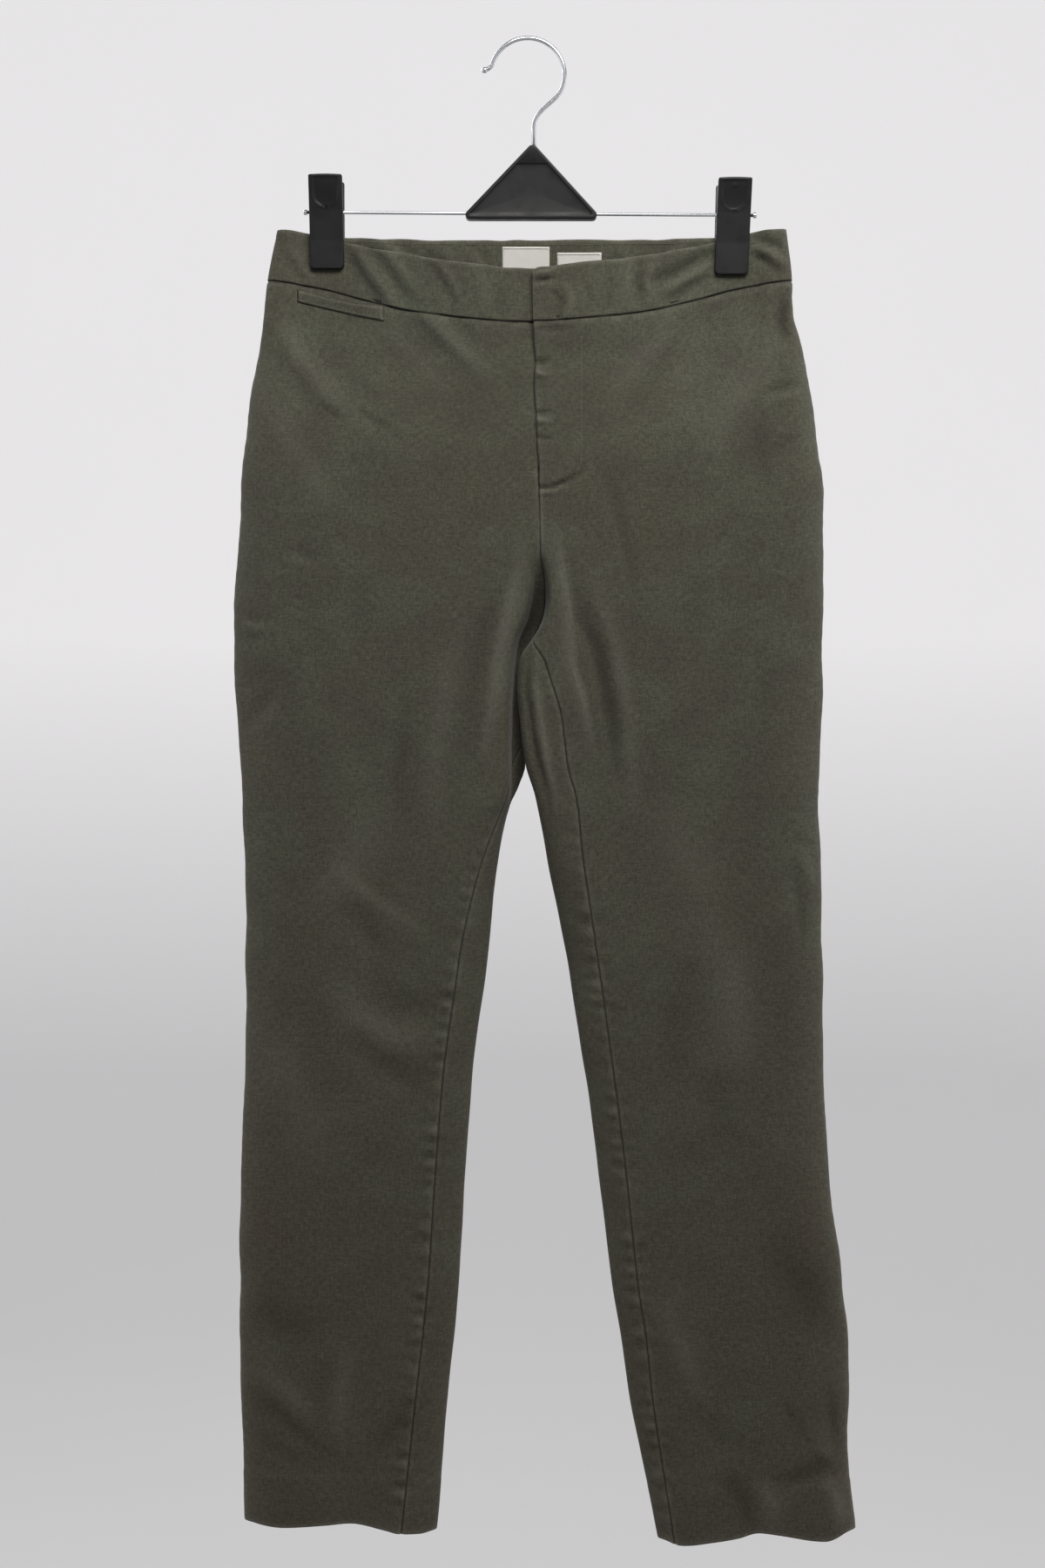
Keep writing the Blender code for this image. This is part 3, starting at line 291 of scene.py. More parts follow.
# Creases and soft folds, laid on the hanging cloth. path: (across, drop) points; width: half
# width; height: + a ridge, - a trough; lean: + makes the side towards the wearer's left the steeper.
Crease = namedtuple("Crease", "face side width height lean path")
CREASES = [Crease(*row) for row in (
    # from the crotch down the two thighs
    ("front", "left", 4.5, 1.8, 0.4, ((18, 360), (24, 404), (28.7, 424), (30, 467), (38.6, 494),
                                      (48, 542))),
    ("front", "left", 6.0, -1.9, -0.3, ((27, 405), (38.6, 435), (49.5, 458), (55, 485), (60.5, 512),
                                        (66, 560))),
    ("front", "left", 6.0, 0.9, 0.0, ((44, 395), (58, 440), (70, 500), (76, 580))),
    ("front", "left", 5.0, -0.8, 0.0, ((50, 312), (62, 345), (72, 385), (80, 430))),
    ("front", "left", 2.4, -2.4, 0.0, ((0.6, 446), (-0.2, 465), (-2, 485), (0.6, 498), (2.5, 517), (7.7, 540),
                                      (14, 563), (15.5, 590))),
    ("front", "left", 3.0, 1.6, 0.0, ((5, 455), (4, 485), (8, 515), (13, 545), (20, 580))),
    ("front", "right", 5.0, 1.7, -0.4, ((-5, 372), (-8.4, 395), (-17.4, 431), (-25.4, 467),
                                        (-29, 503), (-37, 548))),
    ("front", "right", 7.0, -0.8, 0.0, ((-22, 400), (-34, 440), (-42, 490), (-50, 540))),
    ("front", "right", 8.0, 0.6, 0.0, ((-45, 420), (-60, 470), (-70, 540), (-72, 610))),
    ("front", "right", 5.0, -0.7, 0.0, ((-96, 470), (-92, 510), (-98, 550), (-94, 590))),
    # round the placket
    ("front", "left", 1.6, -1.7, 0.5, ((-12, 337), (3, 336.8), (16.7, 336), (27.6, 331.3),
                                       (36, 325.5), (40, 315))),
    ("front", "left", 2.4, 0.9, 0.0, ((-1, 340.5), (16.7, 339.6), (29, 334.6))),
    ("front", "left", 1.4, -0.3, 0.0, ((36.5, 325), (38.3, 316), (38.3, 226))),
    ("front", "left", 1.8, 0.35, 0.0, ((15.6, 240), (15.4, 268), (15.6, 296))),
    ("front", "left", 2.4, -1.0, 0.0, ((0, 243), (9, 245), (15, 243))),
    ("front", "left", 2.6, 1.2, 0.0, ((0, 250), (9, 254), (15, 252))),
    ("front", "left", 2.2, -1.0, 0.0, ((0, 281), (9, 282), (16, 280))),
    ("front", "left", 2.2, 1.1, 0.0, ((0, 287), (10, 288), (16, 286))),
    ("front", "left", 2.0, -0.9, 0.0, ((0, 298), (10, 301), (17, 299))),
    ("front", "left", 2.6, -0.8, 0.0, ((2, 221), (24, 221), (34, 218))),
    # pulled from the clips over the hips
    ("front", "right", 6.0, -0.9, 0.3, ((-104, 182), (-90, 205), (-74, 224), (-54, 244), (-40, 262))),
    ("front", "right", 7.0, 0.8, 0.0, ((-92, 186), (-72, 214), (-50, 238), (-26, 258))),
    ("front", "right", 5.0, -0.5, 0.0, ((-70, 192), (-52, 214), (-34, 236))),
    ("front", "right", 6.0, 0.45, 0.0, ((-118, 200), (-96, 228), (-74, 252), (-56, 280))),
    ("front", "right", 7.0, 0.8, 0.0, ((-192, 206), (-172, 234), (-156, 258), (-136, 284))),
    ("front", "right", 6.5, -0.7, 0.0, ((-198, 210), (-182, 245), (-162, 272), (-140, 300))),
    ("front", "right", 8.0, -0.5, 0.0, ((-160, 214), (-138, 246), (-112, 276), (-92, 310))),
    ("front", "right", 9.0, 0.5, 0.0, ((-204, 250), (-186, 290), (-160, 330), (-140, 372))),
    ("front", "left", 8.0, 0.5, 0.0, ((112, 196), (96, 226), (70, 256), (52, 290))),
    ("front", "left", 7.0, -0.5, 0.0, ((124, 200), (106, 236), (84, 268), (66, 300))),
    ("front", "left", 9.0, 0.5, 0.0, ((186, 214), (170, 250), (140, 290), (120, 330))),
    ("front", "left", 8.0, -0.45, 0.0, ((196, 236), (182, 280), (158, 320), (140, 360))),
    ("front", "right", 3.0, -0.8, 0.3, ((-154, 272), (-147, 280), (-138, 288))),
    ("front", "right", 3.5, -0.9, 0.3, ((-128, 277), (-116, 286), (-100, 296))),
    ("front", "right", 3.6, -0.4, 0.2, ((-187, 381), (-170, 384), (-150, 391))),
    ("front", "right", 3.6, 0.35, 0.0, ((-187, 387), (-170, 391), (-152, 398))),
    ("front", "right", 3.2, -0.5, 0.0, ((-214, 427), (-204, 434), (-192, 431))),
    ("front", "right", 3.2, 0.45, 0.0, ((-214, 434), (-203, 440), (-190, 441))),
    ("front", "right", 3.2, -0.4, 0.0, ((-212, 444), (-203, 449), (-194, 447))),
    ("front", "right", 3.0, -0.7, 0.0, ((-213, 512), (-200, 500), (-188, 482))),
    ("front", "right", 3.0, 0.6, 0.0, ((-211, 522), (-197, 512), (-184, 492))),
    ("front", "right", 3.4, 0.2, 0.0, ((-192, 300), (-192.5, 360), (-191, 425))),
    ("front", "right", 3.4, 0.2, 0.0, ((-187, 615), (-187.5, 660), (-186, 720))),
    ("front", "left", 3.0, -0.9, 0.0, ((173, 268), (186, 262), (203, 257))),
    ("front", "left", 3.0, 0.7, 0.0, ((172, 276), (186, 270), (204, 265))),
    ("front", "left", 6.0, -0.7, 0.0, ((168, 262), (170, 300), (173, 345))),
    ("front", "left", 4.0, -2.4, 0.5, ((195, 188), (190, 204), (189.5, 219), (193, 232))),
    ("front", "left", 4.0, -0.7, 0.0, ((176, 320), (186, 306), (202, 296))),
    ("front", "left", 3.2, -0.7, 0.3, ((195, 597), (203, 598), (213, 603))),
    ("front", "left", 3.6, 0.7, 0.0, ((200, 606), (206, 618), (213, 634))),
    ("front", "left", 5.0, -0.9, 0.0, ((194, 612), (200, 640), (203, 680))),
    ("front", "right", 4.5, -2.0, 0.0, ((8, 388), (7, 412), (2, 434), (-5, 452), (-11, 480))),
    # across the knees and calves
    ("front", "right", 6.0, 0.7, 0.2, ((-150, 612), (-118, 640), (-74, 670))),
    ("front", "right", 8.0, -0.7, 0.0, ((-142, 640), (-120, 664), (-96, 694))),
    ("front", "right", 12.0, -0.8, 0.0, ((-118, 700), (-98, 716), (-78, 722), (-62, 716))),
    ("front", "right", 10.0, -0.8, 0.0, ((-136, 738), (-112, 762), (-84, 776), (-60, 774))),
    ("front", "right", 12.0, 0.9, 0.0, ((-150, 700), (-128, 728), (-100, 746), (-66, 744))),
    ("front", "right", 14.0, 0.6, 0.0, ((-204, 725), (-172, 790), (-150, 850))),
    ("front", "right", 14.0, -0.5, 0.0, ((-190, 690), (-160, 740), (-140, 800))),
    ("front", "right", 16.0, 0.5, 0.0, ((-110, 560), (-130, 610), (-160, 660))),
    ("front", "left", 16.0, 0.8, 0.0, ((146, 670), (150, 715), (152, 775))),
    ("front", "left", 14.0, -0.7, 0.0, ((116, 680), (106, 740), (114, 810))),
    ("front", "left", 12.0, -0.6, 0.0, ((128, 765), (140, 800), (146, 840))),
    ("front", "left", 14.0, -0.5, 0.0, ((185, 660), (180, 720), (190, 790))),
    ("front", "left", 18.0, 0.5, 0.0, ((90, 560), (120, 620), (140, 700))),
    # above the hems
    ("front", "right", 14.0, -1.0, 0.0, ((-212, 935), (-186, 958), (-152, 968))),
    ("front", "right", 6.5, -1.0, 0.3, ((-212, 1000), (-186, 1022), (-160, 1046), (-140, 1060))),
    ("front", "right", 8.0, 0.7, 0.0, ((-206, 986), (-178, 1008), (-150, 1036))),
    ("front", "right", 6.0, -0.6, 0.0, ((-200, 1034), (-182, 1052), (-156, 1062))),
    ("front", "right", 8.0, -1.0, -0.3, ((-78, 1002), (-98, 1030), (-124, 1060))),
    ("front", "right", 7.0, 0.7, 0.0, ((-132, 972), (-140, 1010), (-146, 1050))),
    ("front", "right", 9.0, -0.5, 0.0, ((-150, 980), (-156, 1015), (-158, 1050))),
    ("front", "left", 18.0, -1.4, 0.0, ((172, 890), (204, 930), (232, 976))),
    ("front", "left", 5.5, -1.2, 0.3, ((188, 1012), (202, 1038), (220, 1064))),
    ("front", "left", 5.5, -1.0, 0.0, ((222, 1000), (224, 1028), (228, 1054))),
    ("front", "left", 6.5, -1.3, 0.0, ((174, 1078), (202, 1069), (236, 1052))),
    ("front", "left", 6.0, 1.0, 0.0, ((192, 1024), (210, 1050), (232, 1062))),
    ("front", "left", 6.0, 1.1, 0.0, ((218, 1066), (226, 1088), (230, 1112))),
    ("front", "left", 9.0, -1.3, 0.0, ((140, 1066), (158, 1086), (166, 1116))),
    ("front", "left", 9.0, 0.8, 0.0, ((170, 1072), (178, 1090), (180, 1112))),
    ("front", "left", 7.0, 0.6, 0.0, ((94, 934), (114, 980), (132, 1030))),
    ("front", "left", 9.0, -0.6, 0.0, ((118, 1010), (140, 1040), (172, 1052))),
    # the hidden side, folded in the same ways
    ("back", "right", 6.0, -1.3, 0.0, ((-120, 190), (-98, 214), (-70, 240), (-44, 262))),
    ("back", "right", 6.0, 0.9, 0.0, ((-104, 192), (-80, 216), (-52, 240))),
    ("back", "left", 6.0, -1.2, 0.0, ((124, 190), (104, 212), (78, 236), (52, 254))),
    ("back", "left", 5.5, 0.9, 0.0, ((108, 194), (86, 216), (58, 238))),
    ("back", "right", 5.0, -1.6, 0.3, ((-24, 400), (-48, 428), (-84, 448), (-128, 458))),
    ("back", "right", 5.0, 1.2, 0.0, ((-22, 414), (-46, 444), (-82, 464), (-120, 474))),
    ("back", "left", 5.0, -1.6, -0.3, ((26, 404), (52, 434), (90, 452), (132, 458))),
    ("back", "left", 5.0, 1.2, 0.0, ((24, 420), (50, 450), (86, 468), (124, 476))),
    ("back", "right", 4.0, -0.9, 0.0, ((-196, 330), (-172, 340), (-150, 344))),
    ("back", "left", 4.0, -0.9, 0.0, ((200, 318), (178, 330), (158, 336))),
    ("back", "right", 9.0, -1.4, 0.0, ((-196, 706), (-150, 722), (-96, 716))),
    ("back", "right", 8.0, 1.1, 0.0, ((-190, 730), (-146, 744), (-90, 742))),
    ("back", "left", 9.0, -1.4, 0.0, ((204, 716), (156, 728), (100, 722))),
    ("back", "left", 8.0, 1.0, 0.0, ((200, 738), (160, 752), (112, 748))),
    ("back", "right", 6.0, -1.0, 0.0, ((-180, 652), (-150, 668), (-110, 672))),
    ("back", "left", 6.0, -1.0, 0.0, ((190, 660), (160, 676), (120, 672))),
    ("back", "right", 5.0, -1.3, 0.0, ((-206, 1000), (-176, 1026), (-150, 1056))),
    ("back", "right", 5.0, -1.1, 0.0, ((-84, 1010), (-104, 1034), (-122, 1052))),
    ("back", "left", 5.0, -1.3, 0.0, ((104, 1016), (124, 1040), (140, 1064))),
    ("back", "left", 5.0, -1.2, 0.0, ((232, 1018), (212, 1040), (194, 1062))),
)]


def nearest_on(path, x, drop):
    """Signed distance of points from a path, and the share of its run at the nearest place."""
    best = np.full(x.shape, 1e9)
    signed = np.zeros(x.shape)
    share = np.zeros(x.shape)
    lengths = [math.dist(a, b) for a, b in zip(path, path[1:])]
    before = 0.0
    for (ax, ad), (bx, bd), length in zip(path, path[1:], lengths):
        ux, ud = (bx - ax) / length, (bd - ad) / length
        t = np.clip((x - ax) * ux + (drop - ad) * ud, 0, length)
        dx, dd = x - ax - ux * t, drop - ad - ud * t
        apart = np.hypot(dx, dd)
        closer = apart < best
        best = np.where(closer, apart, best)
        side = np.sign(ud * (x - ax) - ux * (drop - ad))
        signed = np.where(closer, apart * side, signed)
        share = np.where(closer, (before + t) / sum(lengths), share)
        before += length
    return signed, share


CREASE_DEPTH = 1.6      # all creases are deepened by this, to read as they do in a soft light


def creased(side, points, normals):
    """How far the creases move each point of a panel out."""
    x, drop = points[..., 0], -points[..., 2]
    moved = np.zeros(x.shape)
    for crease in CREASES:
        if crease.side != side:
            continue
        facing = normals[..., 1] * (-1 if crease.face == "front" else 1)
        signed, share = nearest_on(crease.path, x, drop)
        width = crease.width * (1 - crease.lean * np.tanh(signed / crease.width))
        taper = np.sin(np.pi * share) ** 0.9
        height = crease.height * CREASE_DEPTH
        moved += height * np.exp(-(signed / width) ** 2) * taper * ease(facing, 0.02, 0.5)
    return moved


def slack(x, drop, side):
    """The cloth's own soft unevenness, a sum of long slanting waves."""
    sway = SIGN[side]
    wave = 0.42 * np.sin(drop / 31 + x / 23 * sway + 1.1) * np.sin(drop / 83 - x / 41 + 0.4)
    wave += 0.30 * np.sin(drop / 19 - x / 14 * sway + 2.0) * np.sin(drop / 61 + x / 37 + 1.9)
    wave += 0.13 * np.sin(drop / 8.3 + x / 11 + 0.7) * np.sin(drop / 47 - x / 9.1 + 2.6)
    return wave * (0.35 + 0.65 * ease(drop, 250, 520))


def pucker(drop, rate, shift):
    """Small uneven ripples that the seam's stitches draw in, by level."""
    wave = np.sin(drop / 2.1 / rate + 1.9 * np.sin(drop / 17 + shift))
    wave = wave + 0.6 * np.sin(drop / 4.1 / rate + 2.3 * np.sin(drop / 29 + 2 * shift))
    return wave * (0.6 + 0.4 * np.sin(drop / 41 + shift) * np.sin(drop / 13 + 1.7 * shift))


SEAM_GROOVE = 0.55      # depth of the groove where two pieces meet
ALLOWANCE = 9.0         # pressed-open seam allowances show as a faint step this wide
HEM_ALLOWANCE = 38.0
HEM_FOLD = 0.95         # radius of the fold at the hem


def beside_seam(run, drop, shift, strength):
    """Movement of cloth beside a seam at a given run from it: groove, allowance and puckers."""
    groove = -SEAM_GROOVE * np.exp(-(run / 0.8) ** 2)
    step = 0.22 * (1 - ease(run, ALLOWANCE - 1.5, ALLOWANCE + 1.5)) * ease(run, 0.6, 2.4)
    ripple = strength * pucker(drop, 1.0, shift) * np.exp(-((run - 3.5) / 6.0) ** 2) * ease(run, 0.2, 3.0)
    return groove + step + ripple


def normals_of(points, outward):
    """Outward normals of a grid of points."""
    down = np.gradient(points, axis=0)
    across = np.gradient(points, axis=1)
    normal = np.cross(down, across)
    normal /= np.maximum(np.linalg.norm(normal, axis=2, keepdims=True), 1e-9)
    return normal if outward else -normal


def quads_of(rows, columns, first=0):
    """The facets of a grid of corners counted row by row from a first one."""
    at = first + np.arange(rows * columns).reshape(rows, columns)
    return np.stack([at[:-1, :-1], at[1:, :-1], at[1:, 1:], at[:-1, 1:]], -1).reshape(-1, 4)


def cloth_mesh(name, points, threads, wear_and_painted_light, thickness, outward):
    """A shell of cloth from a grid of points: threads are its flat coordinates; the values after them pale it
    for wear and painted highlights and darken it for painted shade.
    """
    quads = quads_of(*points.shape[:2])
    if not outward:
        quads = quads[:, ::-1]
    mesh = bpy.data.meshes.new(name)
    mesh.from_pydata((points * MM).reshape(-1, 3).tolist(), [], quads.tolist())
    layer = mesh.uv_layers.new(name="threads")
    layer.data.foreach_set("uv", (threads * MM).reshape(-1, 2)[quads.ravel()].ravel())
    wear_and_light_attribute = mesh.attributes.new("wear_and_painted_light", "FLOAT", "POINT")
    wear_and_light_attribute.data.foreach_set("value", wear_and_painted_light.ravel().astype(np.float32))
    mesh.shade_smooth()
    made = bpy.data.objects.new(name, mesh)
    bpy.context.scene.collection.objects.link(made)
    wall = made.modifiers.new("cloth", "SOLIDIFY")
    wall.thickness = thickness * MM
    wall.offset = -1.0
    wall.use_even_offset = False
    return made


def linear(hex_colour):
    """An sRGB hex colour as linear RGBA."""
    values = [int(hex_colour[i:i + 2], 16) / 255 for i in (0, 2, 4)]
    return [v / 12.92 if v <= 0.04045 else ((v + 0.055) / 1.055) ** 2.4 for v in values] + [1.0]


def add(tree, kind, inputs=None, **settings):
    """Adds a shader node with its settings, and links or sets its inputs."""
    made = tree.nodes.new("ShaderNode" + kind)
    for key, value in settings.items():
        setattr(made, key, value)
    for key, value in (inputs or {}).items():
        if isinstance(value, bpy.types.NodeSocket):
            tree.links.new(value, made.inputs[key])
        else:
            made.inputs[key].default_value = value
    return made


def finish_of(name, colour, roughness, **values):
    """A new material with one Principled shader, and its node tree and shader."""
    made = bpy.data.materials.new(name)
    made.use_nodes = True
    shader = made.node_tree.nodes["Principled BSDF"]
    shader.inputs["Base Color"].default_value = linear(colour)
    shader.inputs["Roughness"].default_value = roughness
    for key, value in values.items():
        shader.inputs[key.replace("_", " ")].default_value = value
    return made, made.node_tree, shader


def put_on(piece, surface, *nodes, slot):
    """Gives a new piece its finish, its body and the frame's nodes it stands for; slot is not used."""
    piece.data.materials.append(surface)
    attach(piece, "root")
    if nodes:
        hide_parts(*nodes)


# Cotton stretch twill, piece-dyed olive and garment-washed: a 3/1 weave whose diagonal wales catch a little
# light, matt and slightly fuzzy, faded unevenly to brown and grey, browner towards the hem, paler where it
# rubs; its colour also carries painted highlights on crease ridges and painted shade in seams, grooves and
# crease troughs.
WALE = 0.0013           # real wales lie 0.8 mm apart; drawn coarser so that they show
YARN = 0.0007
TWILL_DEEP = "4b493e"
TWILL_FADED = "5b5e4f"
TWILL_BROWN = "544c40"
# This pale colour is for wear and random specks, and for painted highlights on crease ridges.
TWILL_WORN_AND_PAINTED_HIGHLIGHT = "88867b"
# The darkest colour is painted shade, for seam lines, grooves and crease troughs.
TWILL_PAINTED_SHADE = "191812"


def woven_twill(name, deep, faded, brown, wear_and_painted_light, shaded):
    """The twill's colour from its dye, fading, threads, painted highlights and painted shade, and its relief
    from wales and yarns.
    """
    made, tree, shader = finish_of(name, deep, 0.86, Sheen_Weight=0.16, Sheen_Roughness=0.45,
                                   Specular_IOR_Level=0.28, IOR=1.5)
    flat = add(tree, "UVMap", uv_map="threads").outputs["UV"]
    turned = add(tree, "Mapping", {"Vector": flat, "Rotation": (0, 0, math.radians(58))})
    wales = add(tree, "TexWave", {"Vector": turned.outputs["Vector"], "Scale": 0.314 / WALE,
                                  "Distortion": 0.6, "Detail": 2.0, "Detail Scale": 3.0},
                bands_direction="X")
    yarns = add(tree, "TexWave", {"Vector": flat, "Scale": 0.314 / YARN, "Distortion": 0.9,
                                  "Detail": 1.0, "Detail Scale": 2.0}, bands_direction="Y")
    stretched = add(tree, "Mapping", {"Vector": flat, "Scale": (1.0, 0.16, 1.0)})
    upright = add(tree, "Mapping", {"Vector": flat, "Scale": (1.0, 0.35, 1.0)})
    level = add(tree, "Mapping", {"Vector": flat, "Scale": (0.35, 1.0, 1.0)})
    warp = add(tree, "TexNoise", {"Vector": upright.outputs["Vector"], "Scale": 620.0, "Detail": 2.0})
    weft = add(tree, "TexNoise", {"Vector": level.outputs["Vector"], "Scale": 620.0, "Detail": 2.0})
    hatch = add(tree, "Math", {0: warp.outputs["Fac"], 1: weft.outputs["Fac"]}, operation="ADD")
    hatch = add(tree, "MapRange", {"Value": hatch.outputs["Value"], "From Min": 0.72, "From Max": 1.28,
                                   "To Min": 0.72, "To Max": 1.28})
    slubs = add(tree, "TexNoise", {"Vector": stretched.outputs["Vector"], "Scale": 1300.0,
                                   "Detail": 3.0, "Roughness": 0.6})
    specks = add(tree, "TexNoise", {"Vector": flat, "Scale": 1500.0, "Detail": 1.0})
    cloud = add(tree, "TexNoise", {"Vector": flat, "Scale": 26.0, "Detail": 5.0, "Roughness": 0.62})
    patch = add(tree, "TexNoise", {"Vector": flat, "Scale": 9.0, "Detail": 3.0, "Roughness": 0.55,
                                   "Distortion": 0.4})
    faded_by = add(tree, "MapRange", {"Value": cloud.outputs["Fac"], "From Min": 0.32, "From Max": 0.7})
    base = add(tree, "Mix", {0: faded_by.outputs["Result"], 6: linear(deep), 7: linear(faded)},
               data_type="RGBA")
    brown_by = add(tree, "MapRange", {"Value": patch.outputs["Fac"], "From Min": 0.42, "From Max": 0.72,
                                      "To Max": 0.55})
    down = add(tree, "SeparateXYZ", {"Vector": flat})
    lower = add(tree, "MapRange", {"Value": down.outputs["Y"], "From Min": 0.35, "From Max": 1.1,
                                   "To Max": 0.4})
    browned = add(tree, "Math", {0: brown_by.outputs["Result"], 1: lower.outputs["Result"]},
                  operation="ADD", use_clamp=True)
    base = add(tree, "Mix", {0: browned.outputs["Value"], 6: base.outputs[2], 7: linear(brown)},
               data_type="RGBA")
    speck_by = add(tree, "MapRange", {"Value": specks.outputs["Fac"], "From Min": 0.5, "From Max": 0.75,
                                      "To Max": 0.3})
    base = add(tree, "Mix", {0: speck_by.outputs["Result"], 6: base.outputs[2], 7: linear(wear_and_painted_light)},
               data_type="RGBA")
    thread_by = add(tree, "Math", {0: wales.outputs["Fac"], 1: slubs.outputs["Fac"]}, operation="MULTIPLY")
    shade_by = add(tree, "MapRange", {"Value": thread_by.outputs["Value"], "From Min": 0.0,
                                      "From Max": 0.7, "To Min": 0.74, "To Max": 1.16})
    base = add(tree, "Mix", {0: 1.0, 6: base.outputs[2], 7: shade_by.outputs["Result"]},
               data_type="RGBA", blend_type="MULTIPLY")
    base = add(tree, "Mix", {0: 1.0, 6: base.outputs[2], 7: hatch.outputs["Result"]},
               data_type="RGBA", blend_type="MULTIPLY")
    # A per-point value on the cloth: above zero it pales the colour, for wear and as painted highlight; below
    # zero it darkens it as painted shade.
    wear_and_light_attribute = add(tree, "Attribute", attribute_name="wear_and_painted_light")
    ragged = add(tree, "MapRange", {"Value": slubs.outputs["Fac"], "From Min": 0.3, "From Max": 0.7,
                                    "To Min": 0.35, "To Max": 1.0})
    # Above zero the value pales the colour: wear, and painted highlight on crease ridges.
    wear_and_highlight_by = add(tree, "Math", {0: wear_and_light_attribute.outputs["Fac"], 1: ragged.outputs["Result"]},
                  operation="MULTIPLY", use_clamp=True)
    base = add(tree, "Mix", {0: wear_and_highlight_by.outputs["Value"], 6: base.outputs[2], 7: linear(wear_and_painted_light)},
               data_type="RGBA")
    # Painted shade: where the per-point value is below zero, the colour goes towards the dark shaded colour.
    painted_shade_by = add(tree, "MapRange", {"Value": wear_and_light_attribute.outputs["Fac"], "From Min": 0.0, "From Max": -1.0})
    base = add(tree, "Mix", {0: painted_shade_by.outputs["Result"], 6: base.outputs[2], 7: linear(shaded)},
               data_type="RGBA")
    tree.links.new(base.outputs[2], shader.inputs["Base Color"])
    rough = add(tree, "MapRange", {"Value": cloud.outputs["Fac"], "To Min": 0.78, "To Max": 0.95})
    tree.links.new(rough.outputs["Result"], shader.inputs["Roughness"])
    weave = add(tree, "Math", {0: wales.outputs["Fac"], 1: yarns.outputs["Fac"], 2: 0.5},
                operation="MULTIPLY_ADD")
    first = add(tree, "Bump", {"Height": weave.outputs["Value"], "Strength": 0.55, "Distance": 0.00022})
    second = add(tree, "Bump", {"Height": slubs.outputs["Fac"], "Strength": 0.4, "Distance": 0.0002,
                                "Normal": first.outputs["Normal"]})
    third = add(tree, "Bump", {"Height": cloud.outputs["Fac"], "Strength": 0.35, "Distance": 0.0016,
                               "Normal": second.outputs["Normal"]})
    tree.links.new(third.outputs["Normal"], shader.inputs["Normal"])
    return made


TWILL = woven_twill("washed_cotton_twill", TWILL_DEEP, TWILL_FADED, TWILL_BROWN, TWILL_WORN_AND_PAINTED_HIGHLIGHT,
                    TWILL_PAINTED_SHADE)

FLY_END = 322.0
FLY_UNDER = 3.0
FLY_LIFT = 1.6
BAND_UNDER = 30.0       # width of the right band under the left, and how far the left stands proud
BAND_LIFT = 3.8
LEVEL_STEP = 2.7
LEVELS = np.concatenate([
    SIDE_WAIST + np.array([-3.0, -1.0, 0.15, 0.7, 1.3, 2.1, 3.4]),
    np.arange(SIDE_WAIST + 5.2, 344, 1.8), np.arange(344, CROTCH - 1, LEVEL_STEP), [CROTCH],
    np.arange(CROTCH + 1.5, HEM - 3, LEVEL_STEP), HEM - np.array([2.0, 0.9, 0.0])])
COLUMNS = {"front": 62, "back": 60}
SHIFTS = {"right": 0.6, "left": 2.3}
ROPING = {("right", "front"): 1.0, ("right", "back"): 0.2, ("left", "front"): 0.35, ("left", "back"): 0.9}
panels = {}


